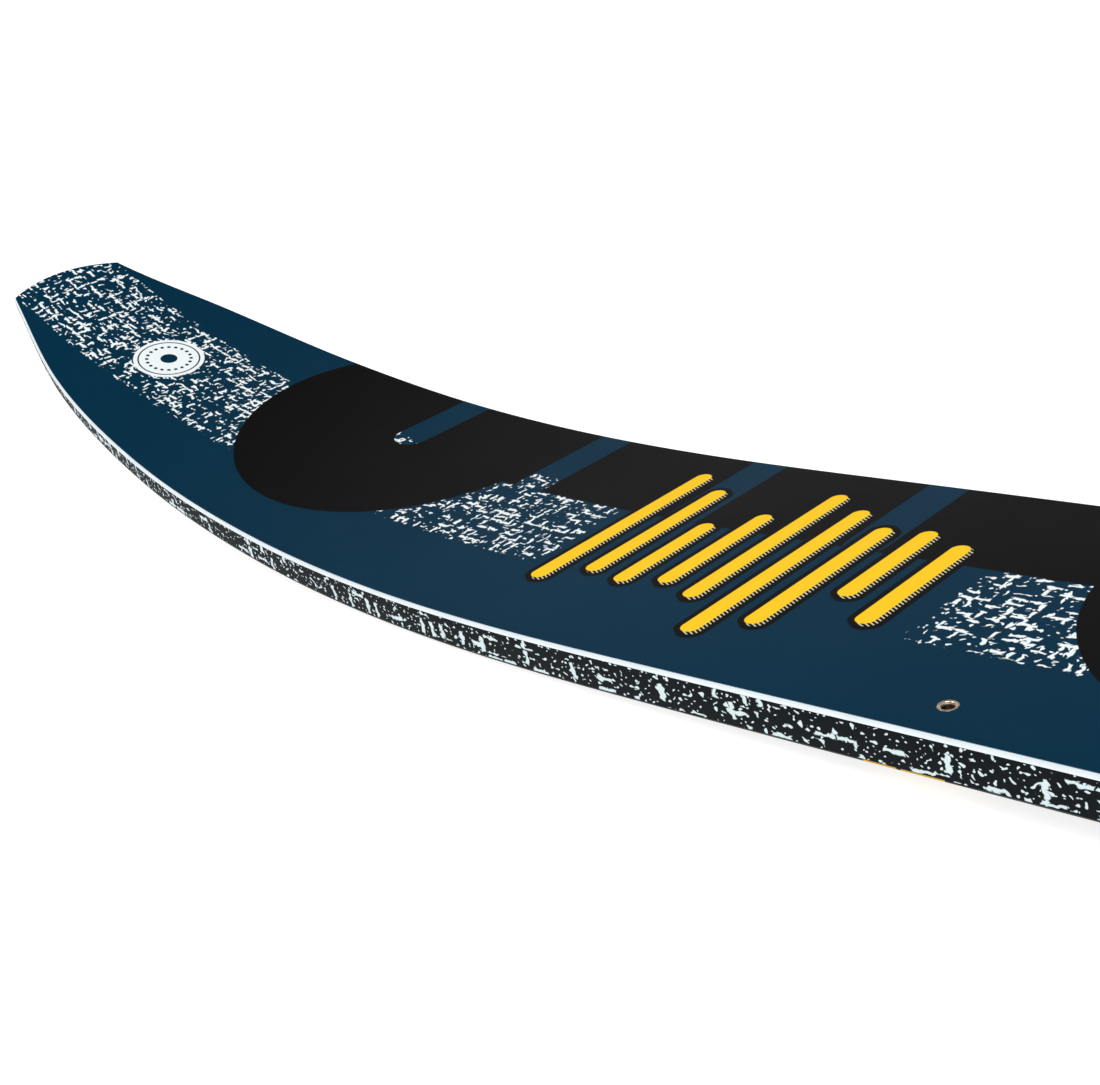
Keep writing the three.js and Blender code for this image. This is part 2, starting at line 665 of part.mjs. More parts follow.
/** The upright part of a wing half, against the blade, with its two screw holes. */
function wingFlange() {
  const outline = new THREE.Shape();
  outline.absarc(0, 0, WING_FRONT, Math.PI / 2, Math.PI, false);
  outline.lineTo(-WING_FRONT, -WING_DROP);
  outline.lineTo(wingRear, -WING_DROP);
  outline.absarc(WING_SCREW_SPACING, 0, WING_BACK, 0, Math.PI / 2, false);
  outline.closePath();
  for (const x of [0, WING_SCREW_SPACING]) {
    outline.holes.push(roundHole(x, 0, WING_SCREW_R + GAP));
  }
  return longPlate(outline, WING_PLATE / 2).translate(0, flangeInner + WING_PLATE / 2, 0);
}

/** The level part of a wing half, which reaches out from the flange's lower edge. */
function wingFoil() {
  const outline = new THREE.Shape();
  outline.moveTo(-WING_FRONT, flangeInner);
  outline.lineTo(wingRear, flangeInner);
  outline.lineTo(wingRear, WING_REAR_STRAIGHT);
  outline.quadraticCurveTo(wingRear, WING_SPAN, WING_TIP_X, WING_SPAN);
  outline.quadraticCurveTo(0, WING_SPAN, -WING_FRONT, WING_FRONT_STRAIGHT);
  outline.closePath();
  return new THREE.ExtrudeGeometry(outline, {
    depth: WING_PLATE,
    bevelEnabled: false,
    curveSegments: CURVE_STEPS,
  }).translate(0, 0, -WING_DROP);
}

/** The mirror image across y = 0, with its faces turned back outwards. */
function mirrorY(geometry) {
  const mirroredGeometry = geometry.clone().scale(1, -1, 1);
  const faces = mirroredGeometry.index.array;
  for (let i = 0; i < faces.length; i += 3) {
    [faces[i + 1], faces[i + 2]] = [faces[i + 2], faces[i + 1]];
  }
  return mirroredGeometry;
}

function addWing() {
  const wing = new THREE.Group();
  wing.position.set(WING_PIVOT.x, 0, WING_PIVOT.z);
  wing.rotation.y = WING_ANGLE;
  finGroup.add(wing);
  const half = join(wingFlange(), wingFoil());
  add("wing_left", mirrorY(half), ANODISED, wing);
  add("wing_right", half, ANODISED, wing);
  const nutProfile = [
    [WING_SCREW_R + GAP, 0],
    [WING_HEAD_R, 0],
    [WING_HEAD_R, WING_HEAD_HEIGHT],
    [WING_SCREW_R + GAP, WING_HEAD_HEIGHT],
    [WING_SCREW_R + GAP, 0],
  ];
  const nut = turned(nutProfile, NUT_SIDES).rotateX(-Math.PI / 2);
  const outerY = flangeInner + WING_PLATE + GAP;
  const length = 2 * outerY + WING_HEAD_HEIGHT;
  for (const [name, x] of [
    ["front", 0],
    ["rear", WING_SCREW_SPACING],
  ]) {
    const screw = socketScrew(length, WING_SCREW_R, WING_HEAD_R, WING_HEAD_HEIGHT);
    add(`wing_screw_${name}`, screw.rotateX(Math.PI / 2), STAINLESS, wing).position.set(
      x,
      -outerY,
      0,
    );
    add(`wing_nut_${name}`, nut.clone(), STAINLESS, wing).position.set(x, outerY, 0);
  }
}

// ---------- assembly and resting attitude ----------
addDeckLayers();
addLaminates();
addCore();
addRails();
addBase();
addInserts();
addFinBox();
ski.add(finGroup);
addClampBars();
addLugs();
addAdjusters();
addClampScrews();
addBlade();
addWing();

/** The slope of the line under the ski that touches the fin's toe and the nose rocker. */
function restingSlope() {
  const toe = new THREE.Vector3(BLADE_TOE_X, 0, BLADE_BOTTOM).applyMatrix4(finGroup.matrix);
  const slopes = STATIONS.filter((s) => s < TAIL_ROCKER_START).map((s) => {
    const keel = place(s, innerHalf(s), thickness(s));
    return (keel.z - toe.z) / (toe.x - keel.x);
  });
  return Math.min(...slopes);
}

const root = new THREE.Group();
root.add(ski);
ski.rotation.y = -Math.atan(restingSlope());
root.updateMatrixWorld(true);
const bounds = new THREE.Box3().setFromObject(root, true);
ski.position.set(-(bounds.min.x + bounds.max.x) / 2, 0, -bounds.min.z);

export default root;
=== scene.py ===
"""A slalom water ski for a studio shot: skins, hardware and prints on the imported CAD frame."""

import json
import math

import bmesh
import bpy
from mathutils import Matrix, Vector


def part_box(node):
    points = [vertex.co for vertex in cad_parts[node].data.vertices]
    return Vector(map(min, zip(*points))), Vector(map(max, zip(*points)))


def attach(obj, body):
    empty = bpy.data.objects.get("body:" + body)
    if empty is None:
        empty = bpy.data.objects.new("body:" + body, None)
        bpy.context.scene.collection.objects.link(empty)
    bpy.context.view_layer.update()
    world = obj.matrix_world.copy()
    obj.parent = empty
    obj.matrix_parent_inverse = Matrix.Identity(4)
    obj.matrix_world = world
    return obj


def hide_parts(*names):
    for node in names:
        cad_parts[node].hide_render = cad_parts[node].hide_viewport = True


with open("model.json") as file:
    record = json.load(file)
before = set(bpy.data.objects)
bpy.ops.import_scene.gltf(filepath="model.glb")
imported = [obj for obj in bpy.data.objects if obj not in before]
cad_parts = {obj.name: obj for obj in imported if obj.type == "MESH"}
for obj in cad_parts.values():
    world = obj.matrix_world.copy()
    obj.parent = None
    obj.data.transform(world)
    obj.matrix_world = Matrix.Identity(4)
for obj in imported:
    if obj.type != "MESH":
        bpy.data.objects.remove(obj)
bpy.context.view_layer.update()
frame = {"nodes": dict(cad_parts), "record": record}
MM = 0.001

# ---------- the ski's own frame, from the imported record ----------
# Along the ski x runs from the tip to the tail, z is 0 on the flat deck, all in millimetres.
FRONT_PAD_X = 880
PADS = {mount["name"]: mount for mount in frame["record"]["mounts"]}
FRONT_PAD = PADS["front_binding_pad"]
UP = Vector(FRONT_PAD["axis"]).normalized()
ALONG = Vector((0, 1, 0)).cross(UP)
SKI = Matrix.Translation(Vector(FRONT_PAD["pos_m"]) - ALONG * FRONT_PAD_X * MM)
SKI = SKI @ Matrix((ALONG, (0, 1, 0), UP)).transposed().to_4x4() @ Matrix.Scale(MM, 4)
TO_SKI = SKI.inverted()

# ---------- the form, as in the CAD ----------
LENGTH = 1702
WIDTH_STATIONS = (0, 90, 200, 340, 520, 860, 1150, 1400, 1580, LENGTH)
HALF_WIDTHS = (44, 73, 90, 99.5, 103.5, 98, 91.5, 78, 59, 42)
TIP_BULGE, TIP_BULGE_REACH = 10, 60
TAIL_BULGE, TAIL_BULGE_REACH = 9, 16
TAIL_CORNER_R = 20
TIP_RISE, TIP_ROCKER_LENGTH, TIP_ROCKER_POWER = 136, 640, 2.65
TAIL_ROCKER_START, TAIL_STRAIGHT_START, TAIL_SLOPE = 1250, 1480, 0.03
FULL_THICKNESS, TIP_THINNING, TIP_THINNING_END, TAIL_THINNING = 23.3, 15, 780, 10
TUNNEL_DEPTH, BEVEL_WIDTH, BEVEL_HEIGHT = 4, 6, 4
FILM_BOTTOM, FILM_MARGIN = 0.5, 1.5
BACKING_TOP, BACKING_EDGE_TOP, BACKING_BOTTOM = 0.75, 1.9, 2.5
RAIL_TOP = 2.75
RAIL_WIDTH = 8
BOND = 0.25
BASE_THIN, BASE_THICK, BASE_EDGE = 0.9, 1.8, 0.7
FIN_X, FIN_BOX_HALF_LENGTH, FIN_BOX_HALF_WIDTH = 1588, 97, 16
INSERT_R = 4.4
TIP_SPACER_LENGTH, TAIL_SPACER_LENGTH = 40, 12
GAP = 0.3
SIDES = (("left", -1), ("right", 1))
ENDS = (("front", -1), ("rear", 1))

# ---------- how finely the meshes are made, and how far their cutters reach ----------
NEAR_REPEAT, END_MARGIN = 0.05, 1
SKIN_ANGLE = 20
ROUND_SIDES, SMALL_SIDES, HEX_SIDES = 48, 32, 6
ARC_STEPS = 10
CUT_EASE = 0.1
CUT_ABOVE, CUT_BELOW = 8, 60  # past the deck and the base
THROUGH = 40  # past both sides of a small part


def half_width(s):
    """Half the ski's width at station s: a curve through the stations, with round tail corners."""
    slopes = [
        (HALF_WIDTHS[i + 1] - HALF_WIDTHS[i]) / (WIDTH_STATIONS[i + 1] - WIDTH_STATIONS[i])
        for i in range(len(HALF_WIDTHS) - 1)
    ]
    tangents = [slopes[0], *[(a + b) / 2 for a, b in zip(slopes, slopes[1:])], slopes[-1]]
    i = max(k for k in range(len(slopes)) if s >= WIDTH_STATIONS[k] or k == 0)
    run = WIDTH_STATIONS[i + 1] - WIDTH_STATIONS[i]
    t = (s - WIDTH_STATIONS[i]) / run
    straight = (
        (2 * t**3 - 3 * t**2 + 1) * HALF_WIDTHS[i]
        + (t**3 - 2 * t**2 + t) * run * tangents[i]
        + (3 * t**2 - 2 * t**3) * HALF_WIDTHS[i + 1]
        + (t**3 - t**2) * run * tangents[i + 1]
    )
    into_corner = max(0, s - (LENGTH - TAIL_CORNER_R))
    return straight - TAIL_CORNER_R + math.sqrt(max(0, TAIL_CORNER_R**2 - into_corner**2))


def deck_height(x):
    """The deck's height above its flat middle."""
    if x < TIP_ROCKER_LENGTH:
        return TIP_RISE * (1 - x / TIP_ROCKER_LENGTH) ** TIP_ROCKER_POWER
    run = TAIL_STRAIGHT_START - TAIL_ROCKER_START
    if x < TAIL_STRAIGHT_START:
        return TAIL_SLOPE * max(0, x - TAIL_ROCKER_START) ** 2 / (2 * run)
    return TAIL_SLOPE * run / 2 + TAIL_SLOPE * (x - TAIL_STRAIGHT_START)


def thickness(s):
    to_tip = max(0, 1 - s / TIP_THINNING_END)
    to_tail = max(0, (s - TAIL_ROCKER_START) / (LENGTH - TAIL_ROCKER_START))
    return FULL_THICKNESS - TIP_THINNING * to_tip**2 - TAIL_THINNING * to_tail**2


def relief(s):
    return thickness(s) / FULL_THICKNESS


def inner_half(s):
    return half_width(s) - RAIL_WIDTH


def bevel_start(s):
    return half_width(s) - BEVEL_WIDTH * relief(s)


def place(s, y, depth):
    """The point at station s, side distance y and depth below the deck, in the ski's frame."""
    across = 1 - (y / half_width(s)) ** 2
    tip = max(0, 1 - s / TIP_BULGE_REACH) ** 2
    tail = max(0, 1 - (LENGTH - s) / TAIL_BULGE_REACH) ** 2
    x = s + across * (TAIL_BULGE * tail - TIP_BULGE * tip)
    return Vector((x, y, deck_height(x) - depth))


def base_bottom(s, y):
    """Depth of the underside: bevelled at the edge, with a shallow tunnel between the rails."""
    reach = abs(y)
    if reach > bevel_start(s):
        along = (reach - bevel_start(s)) / (half_width(s) - bevel_start(s))
        return thickness(s) - BEVEL_HEIGHT * relief(s) * along
    tunnel = max(0, 1 - (y / inner_half(s)) ** 2)
    return thickness(s) - TUNNEL_DEPTH * relief(s) * tunnel


def base_top(s, y):
    at_edge = abs(y) > half_width(s) - FILM_MARGIN / 2
    skin = BASE_EDGE if at_edge else BASE_THIN + (BASE_THICK - BASE_THIN) * relief(s)
    return base_bottom(s, y) - skin


# ---------- mesh helpers ----------
def spread(start, end, steps):
    return [start + (end - start) * i / steps for i in range(steps + 1)]


def merged(*runs):
    """One rising list of stations from several, without near repeats."""
    kept = []
    for value in sorted(v for run in runs for v in run):
        if not kept or value - kept[-1] > NEAR_REPEAT:
            kept.append(value)
    return kept


STATIONS = merged(
    spread(0, TIP_SPACER_LENGTH, 10),
    spread(TIP_SPACER_LENGTH, TIP_ROCKER_LENGTH, 75),
    spread(TIP_ROCKER_LENGTH, TAIL_ROCKER_START, 30),
    spread(TAIL_ROCKER_START, LENGTH - TAIL_CORNER_R, 40),
    [LENGTH - TAIL_CORNER_R * math.cos(math.radians(a)) for a in range(0, 91, 6)],
)


def stations_between(start, end):
    inner = [s for s in STATIONS if start + END_MARGIN < s < end - END_MARGIN]
    return [start, *inner, end]


def new_object(name, mesh):
    piece = bpy.data.objects.new(name, mesh)
    bpy.context.scene.collection.objects.link(piece)
    return piece


def solid(name, vertices, faces, place_in):
    """A new object; place_in brings its vertices to their place in the scene."""
    mesh = bpy.data.meshes.new(name)
    mesh.from_pydata(vertices, [], faces)
    mesh.transform(place_in)
    return new_object(name, mesh)


def slab(name, stations, columns, top, bottom):
    """A closed layer between two depth functions. columns give side distances at s, from -Y to +Y."""
    vertices, faces = [], []
    across = len(columns)
    for s in stations:
        for column in columns:
            y = column(s)
            vertices.append(place(s, y, top(s, y)))
            vertices.append(place(s, y, bottom(s, y)))

    def vertex(i, j, lower):
        return (i * across + j) * 2 + lower

    last, far = len(stations) - 1, across - 1
    for i in range(last):
        for j in range(far):
            corners = ((i, j), (i + 1, j), (i + 1, j + 1), (i, j + 1))
            faces.append([vertex(a, b, 0) for a, b in corners])
            faces.append([vertex(a, b, 1) for a, b in reversed(corners)])
        faces.append([vertex(i, 0, 0), vertex(i, 0, 1), vertex(i + 1, 0, 1), vertex(i + 1, 0, 0)])
        faces.append(
            [vertex(i, far, 0), vertex(i + 1, far, 0), vertex(i + 1, far, 1), vertex(i, far, 1)]
        )
    for j in range(far):
        faces.append([vertex(0, j, 0), vertex(0, j + 1, 0), vertex(0, j + 1, 1), vertex(0, j, 1)])
        faces.append(
            [vertex(last, j, 0), vertex(last, j, 1), vertex(last, j + 1, 1), vertex(last, j + 1, 0)]
        )
    return solid(name, vertices, faces, SKI)


def flat(depth):
    return lambda s, y: depth


def scaled(fractions, half):
    return [lambda s, f=f: f * half(s) for f in fractions]


def full_columns(edges, steps=16):
    """Columns across a full-width layer: the edge columns on both sides, and inner ones between."""
    left = [lambda s, edge=edge: -edge(s) for edge in edges]
    right = list(reversed(edges))
    return [*left, *scaled(spread(-1, 1, steps), inner_half), *right]


def apply_modifiers(piece):
    graph = bpy.context.evaluated_depsgraph_get()
    mesh = bpy.data.meshes.new_from_object(piece.evaluated_get(graph))
    piece.modifiers.clear()
    piece.data = mesh


def bevel(piece, width, segments=2, angle=30):
    """Rounds a piece's sharp edges; width in millimetres."""
    rounding = piece.modifiers.new("rounding", "BEVEL")
    rounding.width = width * MM
    rounding.segments = segments
    rounding.limit_method = "ANGLE"
    rounding.angle_limit = math.radians(angle)
    rounding.harden_normals = False
    apply_modifiers(piece)


def carve(piece, cutters):
    """Cuts the cutters' shapes out of a piece and removes them."""
    for cutter in cutters:
        cut = piece.modifiers.new("cut", "BOOLEAN")
        cut.operation = "DIFFERENCE"
        cut.solver = "EXACT"
        cut.object = cutter
    apply_modifiers(piece)
    for cutter in cutters:
        bpy.data.objects.remove(cutter)


def smooth(piece, angle=32):
    """Shades a piece smooth, except over edges sharper than angle degrees."""
    work = bmesh.new()
    work.from_mesh(piece.data)
    for face in work.faces:
        face.smooth = True
    for edge in work.edges:
        edge.smooth = len(edge.link_faces) == 2 and edge.calc_face_angle(0) < math.radians(angle)
    work.to_mesh(piece.data)
    work.free()


def add_print_coordinates(piece):
    """Stores each point's place in the ski's frame (x, y, depth, in millimetres) for the prints."""
    mesh = piece.data
    layer = mesh.attributes.new("print", "FLOAT_VECTOR", "POINT")
    for point, value in zip(mesh.vertices, layer.data):
        x, y, z = TO_SKI @ point.co
        value.vector = (x, y, deck_height(x) - z)


def finish_piece(piece, node, body, look):
    """Dresses a piece, lets it ride on its body and stand for its CAD node."""
    piece.data.materials.clear()
    piece.data.materials.append(look)
    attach(piece, body)
    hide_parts(node)


def finish_skin(piece, cutters, node, look, rounding):
    """Rounds, cuts and dresses one of the ski's skins, with coordinates for its print."""
    bevel(piece, rounding)
    if cutters:
        carve(piece, cutters)
    smooth(piece, SKIN_ANGLE)
    add_print_coordinates(piece)
    finish_piece(piece, node, "ski", look)


def turned(name, profile, place_in, sides=ROUND_SIDES):
    """A turned piece about local Z from (radius, height) pairs, in millimetres, ends on the axis."""
    work = bmesh.new()
    angles = [2 * math.pi * k / sides for k in range(sides)]
    rings = []
    for radius, height in profile:
        points = [(radius * math.cos(a), radius * math.sin(a), height) for a in angles]
        rings.append([work.verts.new(point) for point in (points if radius else points[:1])])
    for low, high in zip(rings, rings[1:]):
        for k in range(sides):
            n = (k + 1) % sides
            corners = [low[k % len(low)], low[n % len(low)], high[n % len(high)], high[k % len(high)]]
            unique = list(dict.fromkeys(corners))
            if len(unique) > 2:
                work.faces.new(unique)
    bmesh.ops.recalc_face_normals(work, faces=work.faces)
    mesh = bpy.data.meshes.new(name)
    work.to_mesh(mesh)
    work.free()
    mesh.transform(place_in)
    return new_object(name, mesh)


# ---------- procedural shading: numbers over a surface as arithmetic ----------
class Field:
    """A number that varies over a surface. Arithmetic on fields adds the shader's math nodes."""

    def __init__(self, tree, socket):
        self.tree = tree
        self.socket = socket

    def math(self, operation, *others):
        node = self.tree.nodes.new("ShaderNodeMath")
        node.operation = operation
        for entry, value in zip(node.inputs, (self, *others)):
            if isinstance(value, Field):
                self.tree.links.new(value.socket, entry)
            else:
                entry.default_value = value
        return Field(self.tree, node.outputs[0])

    def __add__(self, other):
        return self.math("ADD", other)

    def __sub__(self, other):
        return self.math("SUBTRACT", other)

    def __mul__(self, other):
        return self.math("MULTIPLY", other)

    def __neg__(self):
        return self.math("MULTIPLY", -1.0)

    def __abs__(self):
        return self.math("ABSOLUTE")

    def least(self, other):
        return self.math("MINIMUM", other)

    def most(self, other):
        return self.math("MAXIMUM", other)

    def inside(self, softness=0.12):
        """1 where a signed distance is negative, 0 where it is positive, with a soft edge."""
        node = self.tree.nodes.new("ShaderNodeMapRange")
        self.tree.links.new(self.socket, node.inputs["Value"])
        node.inputs["From Min"].default_value = softness
        node.inputs["From Max"].default_value = -softness
        return Field(self.tree, node.outputs[0])

    def above(self, level, softness=0.02):
        return (-(self - level)).inside(softness)

    def without(self, other):
        """This mask where the other is 0."""
        return self * (-(other - 1.0))


class Surface:
    """A material under construction, with the few nodes that every look here is made from."""

    def __init__(self, name):
        self.material = bpy.data.materials.new(name)
        self.material.use_nodes = True
        self.tree = self.material.node_tree
        self.shader = self.tree.nodes["Principled BSDF"]

    def node(self, kind, **settings):
        made = self.tree.nodes.new(kind)
        for key, value in settings.items():
            setattr(made, key, value)
        return made

    def print_place(self):
        """The place in the ski's frame, as three fields in millimetres and as a vector socket."""
        source = self.node("ShaderNodeAttribute", attribute_name="print")
        return self.parts(source.outputs["Vector"]), source.outputs["Vector"]

    def object_place(self):
        return self.node("ShaderNodeTexCoord").outputs["Object"]

    def vector(self, x, y, z):
        join = self.node("ShaderNodeCombineXYZ")
        for entry, value in zip(join.inputs, (x, y, z)):
            if isinstance(value, Field):
                self.tree.links.new(value.socket, entry)
            else:
                entry.default_value = value
        return join.outputs[0]

    def noise(self, where, scale, detail=2.0, roughness=0.5, distortion=0.0):
        made = self.node("ShaderNodeTexNoise")
        self.tree.links.new(where, made.inputs["Vector"])
        made.inputs["Scale"].default_value = scale
        made.inputs["Detail"].default_value = detail
        made.inputs["Roughness"].default_value = roughness
        made.inputs["Distortion"].default_value = distortion
        return Field(self.tree, made.outputs[0])

    def chance(self, x, y):
        """A random number of 0 to 1 for each unit cell of x and y."""
        made = self.node("ShaderNodeTexWhiteNoise", noise_dimensions="2D")
        cell = self.vector(x.math("FLOOR"), y.math("FLOOR"), 0.0)
        self.tree.links.new(cell, made.inputs["Vector"])
        return Field(self.tree, made.outputs["Value"])

    def parts(self, where):
        made = self.node("ShaderNodeSeparateXYZ")
        self.tree.links.new(where, made.inputs[0])
        return [Field(self.tree, out) for out in made.outputs]

    def stretched(self, where, scale):
        made = self.node("ShaderNodeVectorMath", operation="MULTIPLY")
        self.tree.links.new(where, made.inputs[0])
        made.inputs[1].default_value = scale
        return made.outputs[0]

    def shifted(self, where, offset):
        made = self.node("ShaderNodeVectorMath", operation="ADD")
        self.tree.links.new(where, made.inputs[0])
        made.inputs[1].default_value = offset
        return made.outputs[0]

    def layered(self, base, *layers):
        """A colour: base, then each (mask, colour) laid over it. Colours may be sockets."""
        below = base
        for mask, colour in layers:
            mix = self.node("ShaderNodeMix", data_type="RGBA")
            self.tree.links.new(mask.socket, mix.inputs[0])
            for entry, value in ((mix.inputs[6], below), (mix.inputs[7], colour)):
                if isinstance(value, bpy.types.NodeSocket):
                    self.tree.links.new(value, entry)
                else:
                    entry.default_value = (*value, 1)
            below = mix.outputs[2]
        return below

    def ranged(self, field, low, high):
        """A field of 0 to 1 brought to the range low to high."""
        return field * (high - low) + low

    def set_colour(self, socket):
        self.tree.links.new(socket, self.shader.inputs["Base Color"])

    def set_roughness(self, field):
        self.tree.links.new(field.socket, self.shader.inputs["Roughness"])

    def set_bump(self, field, distance, strength=1.0):
        """distance in metres."""
        made = self.node("ShaderNodeBump")
        made.inputs["Distance"].default_value = distance
        made.inputs["Strength"].default_value = strength
        self.tree.links.new(field.socket, made.inputs["Height"])
        self.tree.links.new(made.outputs[0], self.shader.inputs["Normal"])

    def set_plain(self, values):
        for name, value in values.items():
            self.shader.inputs[name].default_value = value
        return self.material


# ---------- colours (linear) ----------
def srgb(code):
    """A linear colour from a six-digit sRGB code."""
    channels = [int(code[i : i + 2], 16) / 255 for i in (0, 2, 4)]
    return tuple(c / 12.92 if c <= 0.04045 else ((c + 0.055) / 1.055) ** 2.4 for c in channels)


DECK_BLUE = srgb("003047")
DECK_BLUE_DEEP = srgb("002B41")
INK_BLACK = srgb("08080A")
INK_WHITE = srgb("F0F7F8")
INK_YELLOW = srgb("FFCC22")
INK_CREAM = srgb("D8D0A8")
RAIL_CHARCOAL = srgb("0D1215")
RAIL_WHITE = srgb("C3D2D5")
PANEL_YELLOW = srgb("B08A1E")
BASE_BLACK = srgb("131417")

# ---------- the deck print (millimetres in the ski's frame) ----------
DISC_CENTRES = ((313, 48), (906, 44), (1499, 48))
DISC_R = 112
BAND_EDGE_Y = 25.5
BAND_SLOTS = ((322, 30), (444, 20), (562, 20), (677, 20), (1037, 30), (1159, 20), (1277, 20))
SLOT_HALF = 11.6
SPECKLE_HALF = 41
SPECKLE_RUNS = ((-30, 522), (748, 1230))
STRIP_GRAIN, STRIP_RAGGED = 0.35, 9
BADGE_X, BADGE_R = 117, 23.8
BADGE_RING, BADGE_RING_HALF = 0.86, 0.5
BEAD_COUNT, BEAD_RING, BEAD_HALF, BEAD_LEVEL = 20, 0.62, 1.1, 0.1
BADGE_CENTRE = 0.24
BAR_START, BAR_PITCH, BAR_HALF = 524, 23.4, 4.9
BAR_COUNT = 9
BAR_MIDDLE_WAVE = ("SINE", 1.9, 0.6, 13, 5)  # kind, rate, phase, swing, middle
BAR_REACH_WAVE = ("COSINE", 1.25, 0.3, 17, 46)
OUTLINE = 3.2
SHADOW_X, SHADOW_Y = 2.6, -1.8
HATCH_PITCH, HATCH_SLANT, HATCH_LEVEL, HATCH_SOFTNESS = 2.3, 0.5, 0.45, 0.3
PANELS = ((775.5, 7.5), (794.5, 9.5))  # middle along the ski, half length
PANEL_INNER_Y = 82
END_WRAP = 1.4  # how soon toward the ends the rail's print counts the distance across as well
WANDER = 4  # how far the speckle's coordinates are pushed about
FLECK_LEVEL, FLECK_STRETCH = 0.67, (0.15, 0.40, 0.3)
# A stroke set is its cell's length and spacing, the half width, and the share of cells with one.
DECK_STROKES = ((7.5, 4.6, 0.85, 0.21), (6.5, 5.0, 0.85, 0.21))
RAIL_STROKES = ((9.0, 5.5, 0.85, 0.17), (9.0, 6.5, 0.95, 0.19))
# A dot set is an offset into the noise, its scale, and the level above which it is white.
DECK_DOTS = (((5, 31, 0), 0.35, 0.72),)
RAIL_DOTS = (((11, 5, 0), 0.38, 0.71), ((3, 41, 0), 0.6, 0.72))


def bent(surface, where, scale):
    """The coordinates, pushed about by a soft noise so that a pattern on them wanders."""
    warp = surface.node("ShaderNodeTexNoise")
    surface.tree.links.new(where, warp.inputs["Vector"])
    warp.inputs["Scale"].default_value = scale
    warp.inputs["Detail"].default_value = 1.0
    push = surface.node("ShaderNodeVectorMath", operation="MULTIPLY_ADD")
    surface.tree.links.new(warp.outputs["Color"], push.inputs[0])
    push.inputs[1].default_value = (WANDER, WANDER, 0)
    surface.tree.links.new(where, push.inputs[2])
    return push.outputs[0]


def flecks(surface, where):
    """Short white flecks about 2 by 5 mm, drawn along either of two directions."""
    slow, fast, deep = FLECK_STRETCH
    wandering = bent(surface, where, 0.2)
    long_way = surface.stretched(wandering, (slow, fast, deep))
    short_way = surface.stretched(surface.shifted(wandering, (311, 97, 53)), (fast, slow, deep))
    along = surface.noise(long_way, 1.0, 0.6, 0.5)
    across = surface.noise(short_way, 1.0, 0.6, 0.5)
    choice = surface.noise(surface.shifted(where, (71, 13, 5)), 0.09, 0.0).above(0.5, 0.03)
    return (along * choice + across.without(choice)).above(FLECK_LEVEL, 0.02)


def strokes(surface, x, y, length, spacing, half, share):
    """Strokes along x, one to a cell of length by spacing, in a share of the cells."""
    u, v = x * (1 / length), y * (1 / spacing)
    picked = surface.chance(u, v).above(1 - share, 0.001)
    beside = abs(v.math("FRACT") - 0.5) * spacing - half
    beyond = abs(u.math("FRACT") - 0.5) * length - length / 2 + half * 0.6
    return beside.most(beyond).inside(0.2) * picked


def dots(surface, where, offset, scale, level):
    return surface.noise(surface.shifted(where, offset), scale, 0.0).above(level, 0.02)


def speckle(surface, where, scale, stroke_sets, dot_sets):
    """Strokes along x, strokes across it, and dots, as one white mask."""
    x, y, _ = surface.parts(bent(surface, where, scale))
    white = strokes(surface, x, y, *stroke_sets[0])
    white = white.most(strokes(surface, y, x, *stroke_sets[1]))
    for offset, dot_scale, level in dot_sets:
        white = white.most(dots(surface, where, offset, dot_scale, level))
    return white


def deck_speckle(surface, where):
    return flecks(surface, where).most(speckle(surface, where, 0.25, DECK_STROKES, DECK_DOTS))


def rail_speckle(surface, where):
    return speckle(surface, where, 0.3, RAIL_STROKES, RAIL_DOTS)


def disc(x, y, centre, radius):
    dx, dy = x - centre[0], y - centre[1]
    return (dx * dx + dy * dy).math("SQRT") - radius


def slot_distance(x, y, centre_x, start_y):
    """A slot with a round inner end that runs out over the ski's edge."""
    down = (-(y - (start_y + SLOT_HALF))).most(0.0)
    dx = x - centre_x
    return (dx * dx + down * down).math("SQRT") - SLOT_HALF


def wave(step, kind, rate, phase, swing, middle):
    return (step * rate + phase).math(kind) * swing + middle


def bar_distance(x, y):
    """Distance to a row of upright round-ended bars whose ends follow two waves."""
    step = ((x - BAR_START) * (1 / BAR_PITCH)).math("FLOOR").most(0.0).least(BAR_COUNT - 1.0)
    dx = x - (step * BAR_PITCH + BAR_START + BAR_PITCH / 2)
    middle = wave(step, *BAR_MIDDLE_WAVE)
    reach = wave(step, *BAR_REACH_WAVE)
    dy = (abs(y - middle) - reach).most(0.0)
    return (dx * dx + dy * dy).math("SQRT") - BAR_HALF


def band_mask(x, y):
    """The black band along one side, its discs added and its slots cut out."""
    black = (-(y - BAND_EDGE_Y)).most(-(x - DISC_CENTRES[0][0]))
    for centre in DISC_CENTRES:
        black = black.least(disc(x, y, centre, DISC_R))
    for centre_x, start_y in BAND_SLOTS:
        black = black.most(-slot_distance(x, y, centre_x, start_y))
    return black.inside()


def strip_mask(surface, x, y, where):
    """The strip of speckle down the middle, with ragged edges."""
    ragged = surface.noise(where, STRIP_GRAIN, 1.0) * STRIP_RAGGED - STRIP_RAGGED / 2
    strip = None
    for start, end in SPECKLE_RUNS:
        run = (-(x - start)).most(x - end).most(abs(y) - SPECKLE_HALF) + ragged
        strip = run if strip is None else strip.least(run)
    return strip.inside(0.3)


def figure_masks(x, y):
    """The outline, the hatched shadow and the face of the row of bars."""
    bars = bar_distance(x, y)
    shadow = bar_distance(x - SHADOW_X, y - SHADOW_Y)
    outline = bars.least(shadow) - OUTLINE
    hatch_wave = ((x * HATCH_SLANT + y) * (2 * math.pi / HATCH_PITCH)).math("SINE")
    hatch = shadow.inside() * hatch_wave.above(HATCH_LEVEL, HATCH_SOFTNESS)
    return outline.inside(), hatch, bars.inside()


